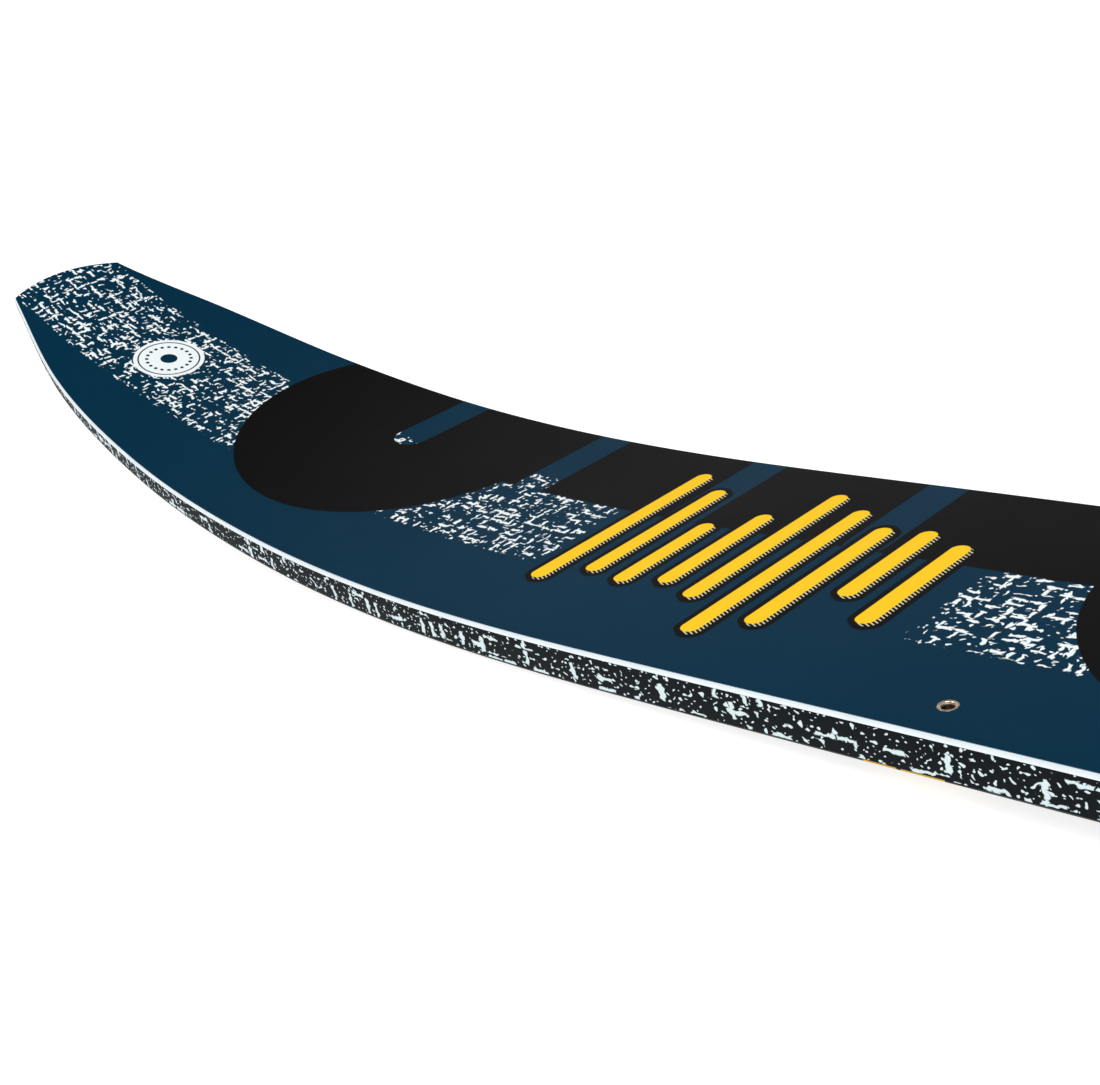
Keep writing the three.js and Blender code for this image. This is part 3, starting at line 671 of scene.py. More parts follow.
def badge_masks(x, y):
    """A round badge: a disc with a thin ring, a ring of beads and a solid centre."""
    dx = x - BADGE_X
    radius = (dx * dx + y * y).math("SQRT")
    turn = y.math("ARCTAN2", dx)
    disc_mask = (radius - BADGE_R).inside()
    ring = (abs(radius - BADGE_RING * BADGE_R) - BADGE_RING_HALF).inside()
    beads = (turn * BEAD_COUNT).math("COSINE").above(BEAD_LEVEL, 0.15)
    beads = (abs(radius - BEAD_RING * BADGE_R) - BEAD_HALF).inside() * beads
    centre = (radius - BADGE_CENTRE * BADGE_R).inside()
    return disc_mask, ring.most(beads).most(centre)


def satin(surface, where, low, high, grain=0.5):
    """Roughness and a faint orange peel for a printed plastic film. Places in millimetres."""
    cloud = surface.noise(where, 0.02, 3.0)
    surface.set_roughness(surface.ranged(cloud, low, high))
    peel = surface.noise(where, grain, 2.0)
    surface.set_bump(peel, 0.00002, 0.25)


def deck_film_look():
    surface = Surface("deck_film_print")
    (x, y, _), where = surface.print_place()
    black = band_mask(x, y)
    white = (deck_speckle(surface, where) * strip_mask(surface, x, y, where)).without(black)
    outline, hatch, yellow = figure_masks(x, y)
    badge, badge_rings = badge_masks(x, y)
    mottle = surface.noise(where, 0.006, 2.0)
    blue = surface.layered(DECK_BLUE_DEEP, (mottle, DECK_BLUE))
    colour = surface.layered(
        blue,
        (white, INK_WHITE),
        (black, INK_BLACK),
        (outline, INK_BLACK),
        (hatch, INK_CREAM),
        (yellow, INK_YELLOW),
        (badge, INK_WHITE),
        (badge_rings, DECK_BLUE_DEEP),
    )
    surface.set_colour(colour)
    satin(surface, where, 0.42, 0.52)
    return surface.set_plain({"Specular IOR Level": 0.024})


def white_edge_look():
    surface = Surface("white_sheet")
    _, where = surface.print_place()
    dirt = surface.noise(where, 0.05, 4.0)
    surface.set_colour(surface.layered(srgb("C4CED3"), (dirt, srgb("DCE3E6"))))
    satin(surface, where, 0.28, 0.4)
    return surface.material


def rail_look():
    surface = Surface("rail_print")
    (x, y, depth), _ = surface.print_place()
    toward_tip = ((-(x - LENGTH / 2)) * (2 / LENGTH) * END_WRAP).most(-1.0).least(1.0)
    unrolled = surface.vector(x + abs(y) * toward_tip, depth, 0.0)
    white = rail_speckle(surface, unrolled)
    surface.set_colour(surface.layered(RAIL_CHARCOAL, (white, RAIL_WHITE)))
    satin(surface, unrolled, 0.45, 0.55)
    return surface.set_plain({"Specular IOR Level": 0.04})


def base_look():
    surface = Surface("base_print")
    (x, y, _), where = surface.print_place()
    first, second = [abs(x - middle) - half for middle, half in PANELS]
    panels = first.least(second).most(-(abs(y) - PANEL_INNER_Y)).inside()
    scuffs = surface.noise(surface.stretched(where, (0.01, 0.6, 0.6)), 1.0, 3.0).above(0.62, 0.1)
    colour = surface.layered(BASE_BLACK, (scuffs * 0.03, INK_WHITE), (panels, PANEL_YELLOW))
    surface.set_colour(colour)
    satin(surface, where, 0.24, 0.36, 0.25)
    return surface.set_plain({"Specular IOR Level": 0.3})


# ---------- plain materials with real-scale detail ----------
def metal_look(name, colour, low, high, grain, weight=1.0):
    """A metal with fine lines along one direction; grain is per metre."""
    surface = Surface(name)
    where = surface.stretched(surface.object_place(), grain)
    lines = surface.noise(where, 1.0, 3.0, 0.6)
    wear = surface.noise(surface.object_place(), 90.0, 4.0)
    darker = tuple(c * 0.72 for c in colour)
    surface.set_colour(surface.layered(darker, (wear, colour)))
    surface.set_roughness(surface.ranged(lines, low, high))
    surface.set_bump(lines, 0.00001, 0.3)
    return surface.set_plain({"Metallic": weight})


def moulded_look(name, colour, low, high):
    """A moulded plastic or resin with a fine texture."""
    surface = Surface(name)
    where = surface.object_place()
    grain = surface.noise(where, 900.0, 3.0, 0.6)
    cloud = surface.noise(where, 12.0, 3.0)
    lighter = tuple(min(1, c * 1.35 + 0.004) for c in colour)
    surface.set_colour(surface.layered(colour, (cloud, lighter)))
    surface.set_roughness(surface.ranged(cloud, low, high))
    surface.set_bump(grain, 0.00003, 0.4)
    return surface.material


def carbon_look():
    """Woven carbon: 2 mm tows over and under each other."""
    surface = Surface("carbon_weave")
    where = surface.object_place()
    weave = surface.node("ShaderNodeTexChecker")
    surface.tree.links.new(where, weave.inputs["Vector"])
    weave.inputs["Scale"].default_value = 500.0
    mask = Field(surface.tree, weave.outputs["Fac"])
    strands = surface.noise(surface.stretched(where, (400, 6000, 400)), 1.0, 1.0)
    surface.set_colour(surface.layered(srgb("15161A"), (mask, srgb("26282D"))))
    surface.set_roughness(surface.ranged(mask, 0.28, 0.45))
    surface.set_bump(mask + strands * 0.3, 0.00006, 0.5)
    return surface.material


def foam_look():
    """Closed-cell foam with fine open cells where it was machined, their pits darkened with painted
    shade.
    """
    surface = Surface("core_foam")
    where = surface.object_place()
    cells = surface.node("ShaderNodeTexVoronoi")
    surface.tree.links.new(where, cells.inputs["Vector"])
    cells.inputs["Scale"].default_value = 1400.0
    depth = Field(surface.tree, cells.outputs["Distance"])
    # painted shade: the middles of the cells, the pits of the bump, are darker than the cell walls
    surface.set_colour(surface.layered(srgb("B9A46B"), (depth.above(0.3, 0.2), srgb("E3D3A0"))))
    surface.set_roughness(surface.ranged(depth, 0.75, 0.95))
    surface.set_bump(depth, 0.0001, 0.6)
    return surface.material


def wood_look():
    surface = Surface("stringer_wood")
    where = surface.stretched(surface.object_place(), (6, 260, 260))
    grain = surface.noise(where, 1.0, 4.0, 0.6, 0.6)
    surface.set_colour(surface.layered(srgb("8A6238"), (grain, srgb("C89B63"))))
    surface.set_roughness(surface.ranged(grain, 0.5, 0.7))
    surface.set_bump(grain, 0.00008, 0.4)
    return surface.material


# ---------- the ski's skins ----------
def ski_cylinder(name, x, y, radius):
    """A cutter through the whole ski, square to the flat deck."""
    profile = [(0, -CUT_BELOW), (radius, -CUT_BELOW), (radius, CUT_ABOVE), (0, CUT_ABOVE)]
    return turned(name, profile, SKI @ Matrix.Translation((x, y, 0)))


def fin_cutter(name, half_length, half_across):
    """A cutter through the whole ski, with straight sides, at the fin's place."""
    columns = [lambda s: -half_across, lambda s: half_across]
    stations = [FIN_X - half_length, FIN_X + half_length]
    return slab(name, stations, columns, flat(-CUT_ABOVE), flat(CUT_BELOW))


INSERT_NODES = sorted(name for name in frame["nodes"] if name.startswith("insert_"))


def centre_of(node):
    low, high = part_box(node)
    return (Vector(low) + Vector(high)) / 2


def fin_box_cutter():
    return fin_cutter("fin_box_hole", FIN_BOX_HALF_LENGTH + CUT_EASE, FIN_BOX_HALF_WIDTH + CUT_EASE)


def deck_cutters():
    """The holes for the inserts and for the fin box."""
    cutters = []
    for node in INSERT_NODES:
        x, y, _ = TO_SKI @ centre_of(node)
        cutters.append(ski_cylinder(f"hole_{node}", x, y, INSERT_R + CUT_EASE))
    return [*cutters, fin_box_cutter()]


def film_half(s):
    return half_width(s) - FILM_MARGIN


def backing_top(s, y):
    return BACKING_EDGE_TOP if abs(y) > half_width(s) - FILM_MARGIN / 2 else BACKING_TOP


def build_deck():
    film = slab("deck_film", STATIONS, full_columns([film_half]), flat(0), flat(FILM_BOTTOM))
    look = deck_film_look()
    finish_skin(film, deck_cutters(), "top_sheet", look, rounding=0.12)
    columns = full_columns([half_width, film_half])
    backing = slab("deck_edge", STATIONS, columns, backing_top, flat(BACKING_BOTTOM))
    look = white_edge_look()
    finish_skin(backing, deck_cutters(), "top_sheet_backing", look, rounding=0.15)


def rail_bottom(s, y):
    return base_top(s, y) - BOND


def build_rails(look):
    for side, sign in SIDES:
        halves = (inner_half, bevel_start, half_width)[::sign]
        columns = [lambda s, half=half, sign=sign: sign * half(s) for half in halves]
        rail = slab(f"rail_skin_{side}", STATIONS, columns, flat(RAIL_TOP), rail_bottom)
        finish_skin(rail, [], f"rail_{side}", look, rounding=0.3)


def build_spacers(look):
    columns = scaled(spread(-1, 1, 16), lambda s: inner_half(s) - GAP)
    runs = (("tip", 0, TIP_SPACER_LENGTH), ("tail", LENGTH - TAIL_SPACER_LENGTH, LENGTH))
    for end, start, stop in runs:
        stations = stations_between(start, stop)
        spacer = slab(f"{end}_filler", stations, columns, flat(RAIL_TOP), rail_bottom)
        finish_skin(spacer, [], f"{end}_spacer", look, rounding=0.2)


def build_base():
    columns = full_columns([half_width, bevel_start], 24)
    base = slab("base_skin", STATIONS, columns, base_top, base_bottom)
    look = base_look()
    finish_skin(base, [fin_box_cutter()], "base_sheet", look, rounding=0.3)


# ---------- binding inserts ----------
INSERT_LENGTH, INSERT_CHAMFER = 13, 0.7
THREADS, THREAD_PITCH, THREAD_START = 9, 1.0, 0.8
BORE_R, THREAD_R = 2.55, 2.95
BORE_END_R, BORE_DEPTH, DRILL_DEPTH = 2.5, 10.4, 11
LIP_R = 0.72


def insert_profile():
    """A barrel with a rounded lip and a threaded bore drawn as ridges."""
    turns = [math.radians(angle) for angle in range(0, 181, 15)]
    lip = [(INSERT_R - LIP_R * (1 - math.cos(a)), LIP_R * (math.sin(a) - 1)) for a in turns]
    foot = (INSERT_R - INSERT_CHAMFER, -INSERT_LENGTH)
    profile = [(0, -INSERT_LENGTH), foot, (INSERT_R, INSERT_CHAMFER - INSERT_LENGTH), *lip]
    for turn in range(THREADS):
        height = -THREAD_START - turn * THREAD_PITCH
        profile += [(BORE_R, height - THREAD_PITCH / 4), (THREAD_R, height - 3 * THREAD_PITCH / 4)]
    return [*profile, (BORE_END_R, -BORE_DEPTH), (0, -DRILL_DEPTH)]


def insert_look():
    """Bright metal round the mouth, and painted shade darkening the threads further down the bore."""
    surface = Surface("insert_metal")
    (_, _, depth), where = surface.print_place()
    turning = surface.noise(surface.stretched(where, (0.8, 0.8, 6)), 1.0, 2.0)
    # painted shade: the bore turns dark brown and rougher below 0.9 mm deep, where the hole lies in
    # shadow
    painted_bore_shade = depth.above(0.9, 0.5)
    bright = surface.layered(srgb("C7B294"), (turning, srgb("EADCC6")))
    surface.set_colour(surface.layered(bright, (painted_bore_shade, srgb("2A211A"))))
    surface.set_roughness(surface.ranged(turning, 0.14, 0.26) + painted_bore_shade * 0.3)
    surface.set_bump(turning, 0.00001, 0.3)
    return surface.set_plain({"Metallic": 1.0})


def build_inserts(look):
    for node in INSERT_NODES:
        x, y, _ = TO_SKI @ centre_of(node)
        place_in = SKI @ Matrix.Translation((x, y, 0))
        barrel = turned(node.replace("insert", "barrel"), insert_profile(), place_in, 64)
        smooth(barrel, 25)
        add_print_coordinates(barrel)
        finish_piece(barrel, node, "ski", look)


# ---------- the fin assembly, in a frame on the deck at the fin's middle ----------
FIN = SKI @ Matrix.Translation((FIN_X, 0, deck_height(FIN_X)))
FIN = FIN @ Matrix.Rotation(-math.atan(TAIL_SLOPE), 4, "Y")
FIN_SLOT_HALF_LENGTH, FIN_SLOT_HALF_WIDTH = 90, 1.6
BLADE_HALF_THICKNESS, BLADE_CLEARANCE = 0.8, 0.2
BESIDE_BLADE = BLADE_HALF_THICKNESS + BLADE_CLEARANCE
TANG_HALF_LENGTH, TANG_TOP = 66, 12.5
BLADE_FRONT, BLADE_REAR, BLADE_BOTTOM, BLADE_TOE_X = -84, 84, -76, -26
BLADE_SIDE_BOTTOM, TOE_PULL = -24, 8
HEEL_RUN, HEEL_PULL, HEEL_RISE, HEEL_NARROWING = 32, 8, 22, 4
FIN_TRAVEL = 3
CLAMP_HALF_LENGTH, CLAMP_OUTER_Y, CLAMP_HEIGHT = 67.7, 12, 15
LUG_START, LUG_LENGTH, LUG_SCREW_Y = 70, 13, 8
AXIS_HEIGHT = 7
FIN_SCREW = (2, 3.6, 3.4)  # shank radius, head radius, head height
SCREW_HOLE_R, SCREW_HOLE_ROOM = 2.3, 1
SCREW_POINT, HEAD_EASE = 0.3, 0.08
HEX_R, HEX_DEPTH, HEX_SHARE, SOCKET_SHARE = 1.7, 1.9, 0.5, 0.6
DECK_SCREW_DEPTH, CLAMP_SCREW_LENGTH = 8, 23
CLAMP_SCREW_X, DECK_SCREW_X, DECK_SCREW_Y = 50, 24, 7
ADJUSTER_R, ADJUSTER_PROUD, ADJUSTER_CONE, ADJUSTER_HEX_R = 2.5, 4, 0.7, 1.36
ADJUSTER_PITCH, ADJUSTER_THREAD, ADJUSTER_LEAD, ADJUSTER_PLAIN_TURNS = 0.8, 0.3, 1, 2
VENT_HOLES, VENT_PITCH, VENT_R, VENT_Z = 5, 21, 4, -31
WING_PIVOT_X, WING_PIVOT_Z, WING_ANGLE, WING_TRAVEL = 22, -56, 8, 5
WING = FIN @ Matrix.Translation((WING_PIVOT_X, 0, WING_PIVOT_Z))
WING = WING @ Matrix.Rotation(math.radians(WING_ANGLE), 4, "Y")
WING_SCREW_SPACING, WING_SPAN, WING_PLATE, WING_DROP = 16, 54, 1.5, 9
WING_FRONT, WING_BACK, WING_TIP_X = 6, 7, 12
WING_REAR_STRAIGHT, WING_FRONT_STRAIGHT = 42, 23
WING_REAR_PULL, WING_FRONT_PULL = 22, 52
WING_SCREW_R, WING_HEAD_R, WING_HEAD_HEIGHT, WING_HOLE_ROOM = 1.5, 2.8, 1.6, 0.2
ACROSS = Matrix.Rotation(math.radians(90), 4, "X")  # turns local Z to -Y


def at(x, y, z):
    return Matrix.Translation((x, y, z))


def block(name, xs, ys, zs, place_in):
    corners = [(x, y, z) for x in xs for y in ys for z in zs]
    faces = [(0, 1, 3, 2), (4, 6, 7, 5), (0, 4, 5, 1), (2, 3, 7, 6), (0, 2, 6, 4), (1, 5, 7, 3)]
    return solid(name, corners, faces, place_in)


def plate(name, outline, low, high, place_in):
    """A flat piece: an outline of (x, y) points, counter-clockwise, between two heights."""
    count = len(outline)
    vertices = [(x, y, z) for z in (low, high) for x, y in outline]
    faces = [list(reversed(range(count))), list(range(count, 2 * count))]
    faces += [[k, (k + 1) % count, (k + 1) % count + count, k + count] for k in range(count)]
    return solid(name, vertices, faces, place_in)


def rod(radius, start, end, place_in, sides=ROUND_SIDES):
    """A cutter rod along local Z."""
    return turned("cutter", [(0, start), (radius, start), (radius, end), (0, end)], place_in, sides)


def bend(start, control, end, steps=14):
    """Points on a quadratic curve, without its start."""
    points = []
    for i in range(1, steps + 1):
        t = i / steps
        points.append(
            tuple(
                (1 - t) ** 2 * a + 2 * t * (1 - t) * b + t * t * c
                for a, b, c in zip(start, control, end)
            )
        )
    return points


def arc(x, y, radius, start, end):
    angles = [math.radians(angle) for angle in spread(start, end, ARC_STEPS)]
    return [(x + radius * math.cos(a), y + radius * math.sin(a)) for a in angles]


def socket_screw(name, length, radius, head_radius, head_height, place_in):
    """A socket-head screw: head underside at 0, shank down local Z, hex socket in the head."""
    ease = HEAD_EASE * head_radius
    profile = [(0, -length), (radius - SCREW_POINT, -length), (radius, SCREW_POINT - length)]
    profile += [(radius, 0), (head_radius - ease, 0), (head_radius, ease)]
    profile += [(head_radius, head_height - 2 * ease), (head_radius - 2 * ease, head_height)]
    screw = turned(name, [*profile, (0, head_height)], place_in)
    floor = head_height - min(HEX_DEPTH, SOCKET_SHARE * head_height)
    hex_r = min(HEX_R, HEX_SHARE * head_radius)
    carve(screw, [rod(hex_r, floor, head_height + THROUGH, place_in, HEX_SIDES)])
    bevel(screw, 0.07, 1, 40)
    smooth(screw)
    return screw


DECK_SCREWS = [
    (f"{kind}_{end}_{side}", end_sign * x, side_sign * y)
    for kind, x, y in (
        ("lug_screw", LUG_START + LUG_LENGTH / 2, LUG_SCREW_Y),
        ("clamp_base_screw", DECK_SCREW_X, DECK_SCREW_Y),
    )
    for end, end_sign in ENDS
    for side, side_sign in SIDES
]


def deck_screw_cutters():
    floor = -DECK_SCREW_DEPTH - SCREW_HOLE_ROOM
    return [rod(SCREW_HOLE_R, floor, THROUGH, FIN @ at(x, y, 0)) for _, x, y in DECK_SCREWS]


def build_fin_box(look):
    stations = [FIN_X - FIN_BOX_HALF_LENGTH, FIN_X, FIN_X + FIN_BOX_HALF_LENGTH]
    columns = [lambda s, f=f: f * FIN_BOX_HALF_WIDTH for f in spread(-1, 1, 8)]
    box = slab("fin_box_body", stations, columns, flat(0), base_bottom)
    slot_cut = fin_cutter("slot_cut", FIN_SLOT_HALF_LENGTH, FIN_SLOT_HALF_WIDTH)
    carve(box, [slot_cut, *deck_screw_cutters()])
    bevel(box, 0.35)
    smooth(box)
    finish_piece(box, "fin_box", "ski", look)


def build_clamp_bars(look):
    xs = (-CLAMP_HALF_LENGTH, CLAMP_HALF_LENGTH)
    for side, sign in SIDES:
        ys = sorted((sign * BESIDE_BLADE, sign * CLAMP_OUTER_Y))
        bar = block(f"clamp_bar_{side}", xs, ys, (GAP, CLAMP_HEIGHT), FIN)
        middles = [FIN @ at(end * CLAMP_SCREW_X, 0, AXIS_HEIGHT) for _, end in ENDS]
        across = [rod(SCREW_HOLE_R, -THROUGH, THROUGH, middle @ ACROSS) for middle in middles]
        carve(bar, [*across, *deck_screw_cutters()])
        finish_clamp_piece(bar, f"fin_clamp_{side}", look)


def build_lugs(look):
    along = FIN @ at(0, 0, AXIS_HEIGHT) @ Matrix.Rotation(math.radians(90), 4, "Y")
    reach = LUG_START + 2 * LUG_LENGTH
    for end, sign in ENDS:
        xs = sorted((sign * LUG_START, sign * (LUG_START + LUG_LENGTH)))
        lug = block(f"lug_{end}", xs, (-CLAMP_OUTER_Y, CLAMP_OUTER_Y), (GAP, CLAMP_HEIGHT), FIN)
        carve(lug, [rod(ADJUSTER_R + CUT_EASE, -reach, reach, along), *deck_screw_cutters()])
        finish_clamp_piece(lug, f"adjuster_lug_{end}", look)


def finish_clamp_piece(piece, node, look):
    bevel(piece, 0.6, 3)
    smooth(piece)
    finish_piece(piece, node, "ski", look)


def build_fin_screws(look):
    length = CLAMP_HEIGHT + GAP + DECK_SCREW_DEPTH
    for name, x, y in DECK_SCREWS:
        place_in = FIN @ at(x, y, CLAMP_HEIGHT + GAP)
        screw = socket_screw(f"{name}_fine", length, *FIN_SCREW, place_in)
        finish_piece(screw, name, "ski", look)
    for end, sign in ENDS:
        place_in = FIN @ at(sign * CLAMP_SCREW_X, -CLAMP_OUTER_Y - GAP, AXIS_HEIGHT) @ ACROSS
        screw = socket_screw(f"cross_screw_{end}", CLAMP_SCREW_LENGTH, *FIN_SCREW, place_in)
        finish_piece(screw, f"clamp_screw_{end}", "ski", look)
        build_adjuster(end, sign, look)


def build_adjuster(end, sign, look):
    """A threaded set screw through the lug, its cone toward the blade and a hex socket outside."""
    tip = TANG_HALF_LENGTH + FIN_TRAVEL + GAP
    length = LUG_START + LUG_LENGTH + ADJUSTER_PROUD - tip
    root = ADJUSTER_R - ADJUSTER_THREAD
    half_turn = ADJUSTER_PITCH / 2
    profile = [(0, 0), (ADJUSTER_R - ADJUSTER_CONE, 0), (ADJUSTER_R, ADJUSTER_CONE)]
    for turn in range(int(length / ADJUSTER_PITCH) - ADJUSTER_PLAIN_TURNS):
        height = ADJUSTER_LEAD + turn * ADJUSTER_PITCH
        profile += [(ADJUSTER_R, height), (root, height + half_turn)]
    profile += [(ADJUSTER_R, length - half_turn), (root, length), (0, length)]
    turn_out = Matrix.Rotation(sign * math.radians(90), 4, "Y")
    place_in = FIN @ at(sign * tip, 0, AXIS_HEIGHT) @ turn_out
    screw = turned(f"set_screw_{end}", profile, place_in)
    socket = rod(ADJUSTER_HEX_R, length - HEX_DEPTH, length + THROUGH, place_in, HEX_SIDES)
    carve(screw, [socket])
    smooth(screw, 25)
    finish_piece(screw, f"fin_adjuster_{end}", "ski", look)


# ---------- the blade ----------
EDGE_TAPER, EDGE_HALF, TAPER_TOP = 2.6, 0.22, -20  # the ground taper along the free edges
TANG_EASE = 0.2


def blade_outline():
    """(x, z) points of the blade, counter-clockwise from the top of the tang's rear end."""
    toe_start = (BLADE_FRONT, BLADE_SIDE_BOTTOM)
    toe_control = (BLADE_FRONT + TOE_PULL, BLADE_BOTTOM + TOE_PULL)
    heel = (BLADE_REAR - HEEL_RUN, BLADE_BOTTOM)
    heel_control = (BLADE_REAR - HEEL_PULL, BLADE_BOTTOM)
    heel_end = (BLADE_REAR - HEEL_NARROWING, BLADE_BOTTOM + HEEL_RISE)
    return [
        (TANG_HALF_LENGTH, TANG_TOP),
        (-TANG_HALF_LENGTH, TANG_TOP),
        (-TANG_HALF_LENGTH, -GAP),
        (BLADE_FRONT, -2 * GAP),
        toe_start,
        *bend(toe_start, toe_control, (BLADE_TOE_X, BLADE_BOTTOM), 24),
        heel,
        *bend(heel, heel_control, heel_end, 20),
        (BLADE_REAR, BLADE_SIDE_BOTTOM),
        (BLADE_REAR, -2 * GAP),
        (TANG_HALF_LENGTH, -GAP),
    ]


def inset(outline, widths):
    """The outline's points moved inwards by their own widths, along the mean of the edge normals."""
    moved = []
    count = len(outline)
    for k, (x, z) in enumerate(outline):
        before = Vector(outline[k - 1])
        after = Vector(outline[(k + 1) % count])
        here = Vector((x, z))
        normals = [Vector((-d.y, d.x)).normalized() for d in (here - before, after - here)]
        mean = (normals[0] + normals[1]).normalized()
        reach = widths[k] / max(0.5, mean.dot(normals[0]))
        moved.append(here + mean * reach)
    return moved


def build_blade(look):
    outline = blade_outline()
    ground = [z < TAPER_TOP for _, z in outline]
    inner = inset(outline, [EDGE_TAPER if thin else TANG_EASE for thin in ground])
    halves = [EDGE_HALF if thin else BLADE_HALF_THICKNESS - TANG_EASE for thin in ground]
    rings = [
        [(p.x, -BLADE_HALF_THICKNESS, p.y) for p in inner],
        [(x, -half, z) for (x, z), half in zip(outline, halves)],
        [(x, half, z) for (x, z), half in zip(outline, halves)],
        [(p.x, BLADE_HALF_THICKNESS, p.y) for p in inner],
    ]
    count = len(outline)
    faces = [list(range(count)), [3 * count + k for k in reversed(range(count))]]
    for ring in range(3):
        for k in range(count):
            a, b = ring * count + k, ring * count + (k + 1) % count
            faces.append([b, a, a + count, b + count])
    blade = solid("blade", [v for ring in rings for v in ring], faces, FIN)
    carve(blade, blade_cutters())
    bevel(blade, 0.12, 1, 50)
    smooth(blade, 8)
    finish_piece(blade, "fin_blade", "fin", look)


def blade_cutters():
    """Clamp slots, the row of vent holes and the wing's two screw holes."""
    cutters = []
    reach = FIN_TRAVEL + GAP
    for _, sign in ENDS:
        x = sign * CLAMP_SCREW_X
        ends = arc(x + reach, 0, SCREW_HOLE_R, -90, 90) + arc(x - reach, 0, SCREW_HOLE_R, 90, 270)
        place_in = FIN @ at(0, 0, AXIS_HEIGHT) @ ACROSS
        cutters.append(plate("cutter", ends, -THROUGH, THROUGH, place_in))
    for k in range(VENT_HOLES):
        x = (k - (VENT_HOLES - 1) / 2) * VENT_PITCH
        cutters.append(rod(VENT_R, -THROUGH, THROUGH, FIN @ at(x, 0, VENT_Z) @ ACROSS))
    swing = WING_SCREW_SPACING * math.sin(math.radians(WING_TRAVEL))
    return cutters + wing_screw_cutters(GAP, GAP + swing)


# ---------- the wing ----------
def wing_screw_cutters(front_room, rear_room):
    """Holes for the wing's two screws, each with its own room round the shank."""
    holes = ((0, front_room), (WING_SCREW_SPACING, rear_room))
    return [
        rod(WING_SCREW_R + room, -THROUGH, THROUGH, WING @ at(x, 0, 0) @ ACROSS, SMALL_SIDES)
        for x, room in holes
    ]


def wing_flange(side, mirror):
    """The upright plate that lies against the blade."""
    outline = [
        (WING_SCREW_SPACING + WING_BACK, -WING_DROP),
        *arc(WING_SCREW_SPACING, 0, WING_BACK, 0, 90),
        *arc(0, 0, WING_FRONT, 90, 180),
        (-WING_FRONT, -WING_DROP),
    ]
    stand = WING @ mirror @ at(0, BESIDE_BLADE, 0) @ Matrix.Rotation(math.radians(90), 4, "X")
    return plate(f"flange_{side}", outline, -WING_PLATE, 0, stand)


def wing_foil(side, mirror):
    """The thin plate that stands out sideways from the fin."""
    rear = WING_SCREW_SPACING + WING_BACK
    corner = (rear, WING_REAR_STRAIGHT)
    tip = (WING_TIP_X, WING_SPAN)
    outline = [
        (-WING_FRONT, BESIDE_BLADE),
        (rear, BESIDE_BLADE),
        corner,
        *bend(corner, (WING_REAR_PULL, WING_SPAN), tip),
        *bend(tip, (0, WING_FRONT_PULL), (-WING_FRONT, WING_FRONT_STRAIGHT)),
    ]
    return plate(f"wing_foil_{side}", outline, -WING_DROP, WING_PLATE - WING_DROP, WING @ mirror)


def build_wing_half(side, sign, look):
    """A flange and a foil, drawn for +Y, mirrored for -Y and joined."""
    mirror = Matrix.Diagonal((1, sign, 1, 1))
    flange = wing_flange(side, mirror)
    half = wing_foil(side, mirror)
    if sign < 0:
        for piece in (flange, half):
            piece.data.flip_normals()
    weld = half.modifiers.new("weld", "BOOLEAN")
    weld.operation = "UNION"
    weld.solver = "EXACT"
    weld.object = flange
    apply_modifiers(half)
    bpy.data.objects.remove(flange)
    carve(half, wing_screw_cutters(WING_HOLE_ROOM, WING_HOLE_ROOM))
    bevel(half, 0.5, 3)
    smooth(half)
    finish_piece(half, f"wing_{side}", "wing", look)


def build_wing_fixings(look):
    outer = BESIDE_BLADE + WING_PLATE + GAP
    sizes = (2 * outer + WING_HEAD_HEIGHT, WING_SCREW_R, WING_HEAD_R, WING_HEAD_HEIGHT)
    for end, x in (("front", 0), ("rear", WING_SCREW_SPACING)):
        screw = socket_screw(f"wing_bolt_{end}", *sizes, WING @ at(x, -outer, 0) @ ACROSS)
        finish_piece(screw, f"wing_screw_{end}", "wing", look)
        build_wing_nut(end, x, outer, look)


def build_wing_nut(end, x, outer, look):
    place_in = WING @ at(x, outer, 0) @ Matrix.Rotation(math.radians(-90), 4, "X")
    place_in = place_in @ Matrix.Rotation(math.radians(30), 4, "Z")
    profile = [(0, 0), (WING_HEAD_R, 0), (WING_HEAD_R, WING_HEAD_HEIGHT), (0, WING_HEAD_HEIGHT)]
    nut = turned(f"hex_nut_{end}", profile, place_in, HEX_SIDES)
    carve(nut, [rod(WING_SCREW_R + CUT_EASE, -THROUGH, THROUGH, place_in, SMALL_SIDES)])
    bevel(nut, 0.18, 2)
    smooth(nut)
    finish_piece(nut, f"wing_nut_{end}", "wing", look)


# ---------- stage, light and camera ----------
CAMERA_PLACE = (1119.2, -494.9, 297.7)  # in the ski's frame
CAMERA_YAW, CAMERA_DOWN, CAMERA_ROLL = -0.908, 0.367, -0.246
CAMERA_LENS = 51.6
# A light is its name, place and target in metres, size in metres and power in watts.
LIGHTS = (
    ("key", (1.1, -1.5, 2.6), (0, 0, 0), (2.2, 1.4), 70),
    ("fill", (-1.7, -1.9, 1.5), (-0.3, 0, 0), (1.8, 1.2), 22),
)
FLOOR_GLOW, WORLD_STRENGTH = 0.8, 0.3


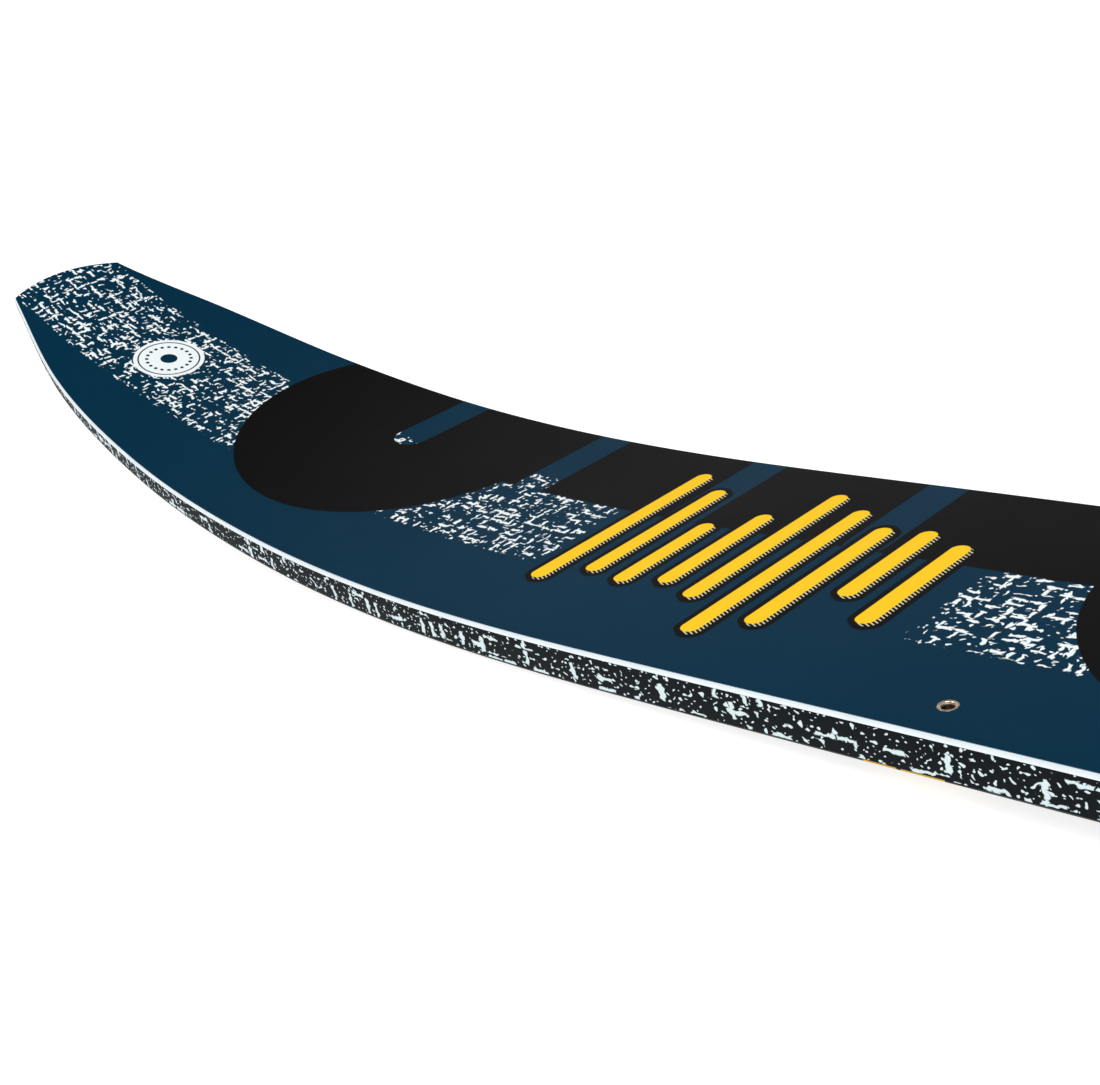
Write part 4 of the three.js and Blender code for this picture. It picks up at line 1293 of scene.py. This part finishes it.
def build_camera():
    data = bpy.data.cameras.new("camera")
    data.lens = CAMERA_LENS
    data.sensor_width = 36
    data.clip_start, data.clip_end = 0.01, 50
    camera = new_object("camera", data)
    ahead = Vector(
        (
            math.sin(CAMERA_YAW) * math.cos(CAMERA_DOWN),
            math.cos(CAMERA_YAW) * math.cos(CAMERA_DOWN),
            -math.sin(CAMERA_DOWN),
        )
    )
    level = Vector((math.cos(CAMERA_YAW), -math.sin(CAMERA_YAW), 0))
    upward = level.cross(ahead)
    right = level * math.cos(CAMERA_ROLL) + upward * math.sin(CAMERA_ROLL)
    up = upward * math.cos(CAMERA_ROLL) - level * math.sin(CAMERA_ROLL)
    turn = SKI.to_3x3().normalized() @ Matrix((right, up, -ahead)).transposed()
    camera.matrix_world = Matrix.Translation(SKI @ Vector(CAMERA_PLACE)) @ turn.to_4x4()
    bpy.context.scene.camera = camera


def area_light(name, place_m, target_m, size, power):
    data = bpy.data.lights.new(name, "AREA")
    data.shape = "RECTANGLE"
    data.size, data.size_y = size
    data.energy = power
    light = new_object(name, data)
    light.location = place_m
    light.rotation_mode = "QUATERNION"
    light.rotation_quaternion = (Vector(target_m) - Vector(place_m)).to_track_quat("-Z", "Y")


COVE_FLAT_R, COVE_SWEEP_R, COVE_WALL = 10, 2, 4.5


def cove_profile():
    """A flat floor that sweeps up all round into a low wall, from the middle out, in metres."""
    sweep = [math.radians(angle) for angle in range(0, 91, 10)]
    curve = [
        (COVE_FLAT_R + COVE_SWEEP_R * math.sin(a), COVE_SWEEP_R * (1 - math.cos(a))) for a in sweep
    ]
    return [(0, 0), (COVE_FLAT_R / 2, 0), *curve, (COVE_FLAT_R + COVE_SWEEP_R, COVE_WALL)]


def build_stage():
    floor = turned("floor", cove_profile(), Matrix.Identity(4), 96)
    smooth(floor, 40)
    surface = Surface("floor_paint")
    tone = surface.noise(surface.object_place(), 1.5, 3.0)
    surface.set_colour(surface.layered(srgb("ACACAC"), (tone, srgb("B0B0B0"))))
    surface.set_roughness(surface.ranged(tone, 0.75, 0.85))
    surface.set_plain({"Emission Color": (1, 1, 1, 1), "Emission Strength": FLOOR_GLOW})
    floor.data.materials.append(surface.material)

    world = bpy.data.worlds.new("studio")
    world.use_nodes = True
    background = world.node_tree.nodes["Background"]
    background.inputs["Color"].default_value = (1, 1, 1, 1)
    background.inputs["Strength"].default_value = WORLD_STRENGTH
    bpy.context.scene.world = world
    for light in LIGHTS:
        area_light(*light)
    bpy.context.scene.view_settings.view_transform = "Standard"


def dress_cad_nodes():
    """Gives each CAD node that stays as it is, inside the sandwich, its procedural material."""
    looks = {
        "carbon_laminate": carbon_look(),
        "core_foam": foam_look(),
        "stringer_wood": wood_look(),
        "potting_resin": moulded_look("potting_resin", srgb("3A3E43"), 0.5, 0.7),
    }
    for entry in frame["record"]["subparts"]:
        look = looks.get(entry["material_slot"])
        if look is not None:
            materials = frame["nodes"][entry["node"]].data.materials
            materials.clear()
            materials.append(look)


def build_ski():
    build_deck()
    rail = rail_look()
    build_rails(rail)
    build_spacers(rail)
    build_base()
    build_inserts(insert_look())


def build_fin_assembly():
    anodised = metal_look("anodised", srgb("2A2C30"), 0.32, 0.5, (300, 300, 300), 0.9)
    steel = metal_look("stainless", srgb("C9CBCD"), 0.18, 0.32, (900, 900, 900))
    build_fin_box(moulded_look("fin_box", srgb("1B1C1F"), 0.45, 0.6))
    build_clamp_bars(anodised)
    build_lugs(anodised)
    build_fin_screws(steel)
    build_blade(metal_look("brushed_blade", srgb("B4B8BE"), 0.25, 0.42, (60, 60, 4000)))
    for side, sign in SIDES:
        build_wing_half(side, sign, anodised)
    build_wing_fixings(steel)


build_camera()
build_stage()
dress_cad_nodes()
build_ski()
build_fin_assembly()
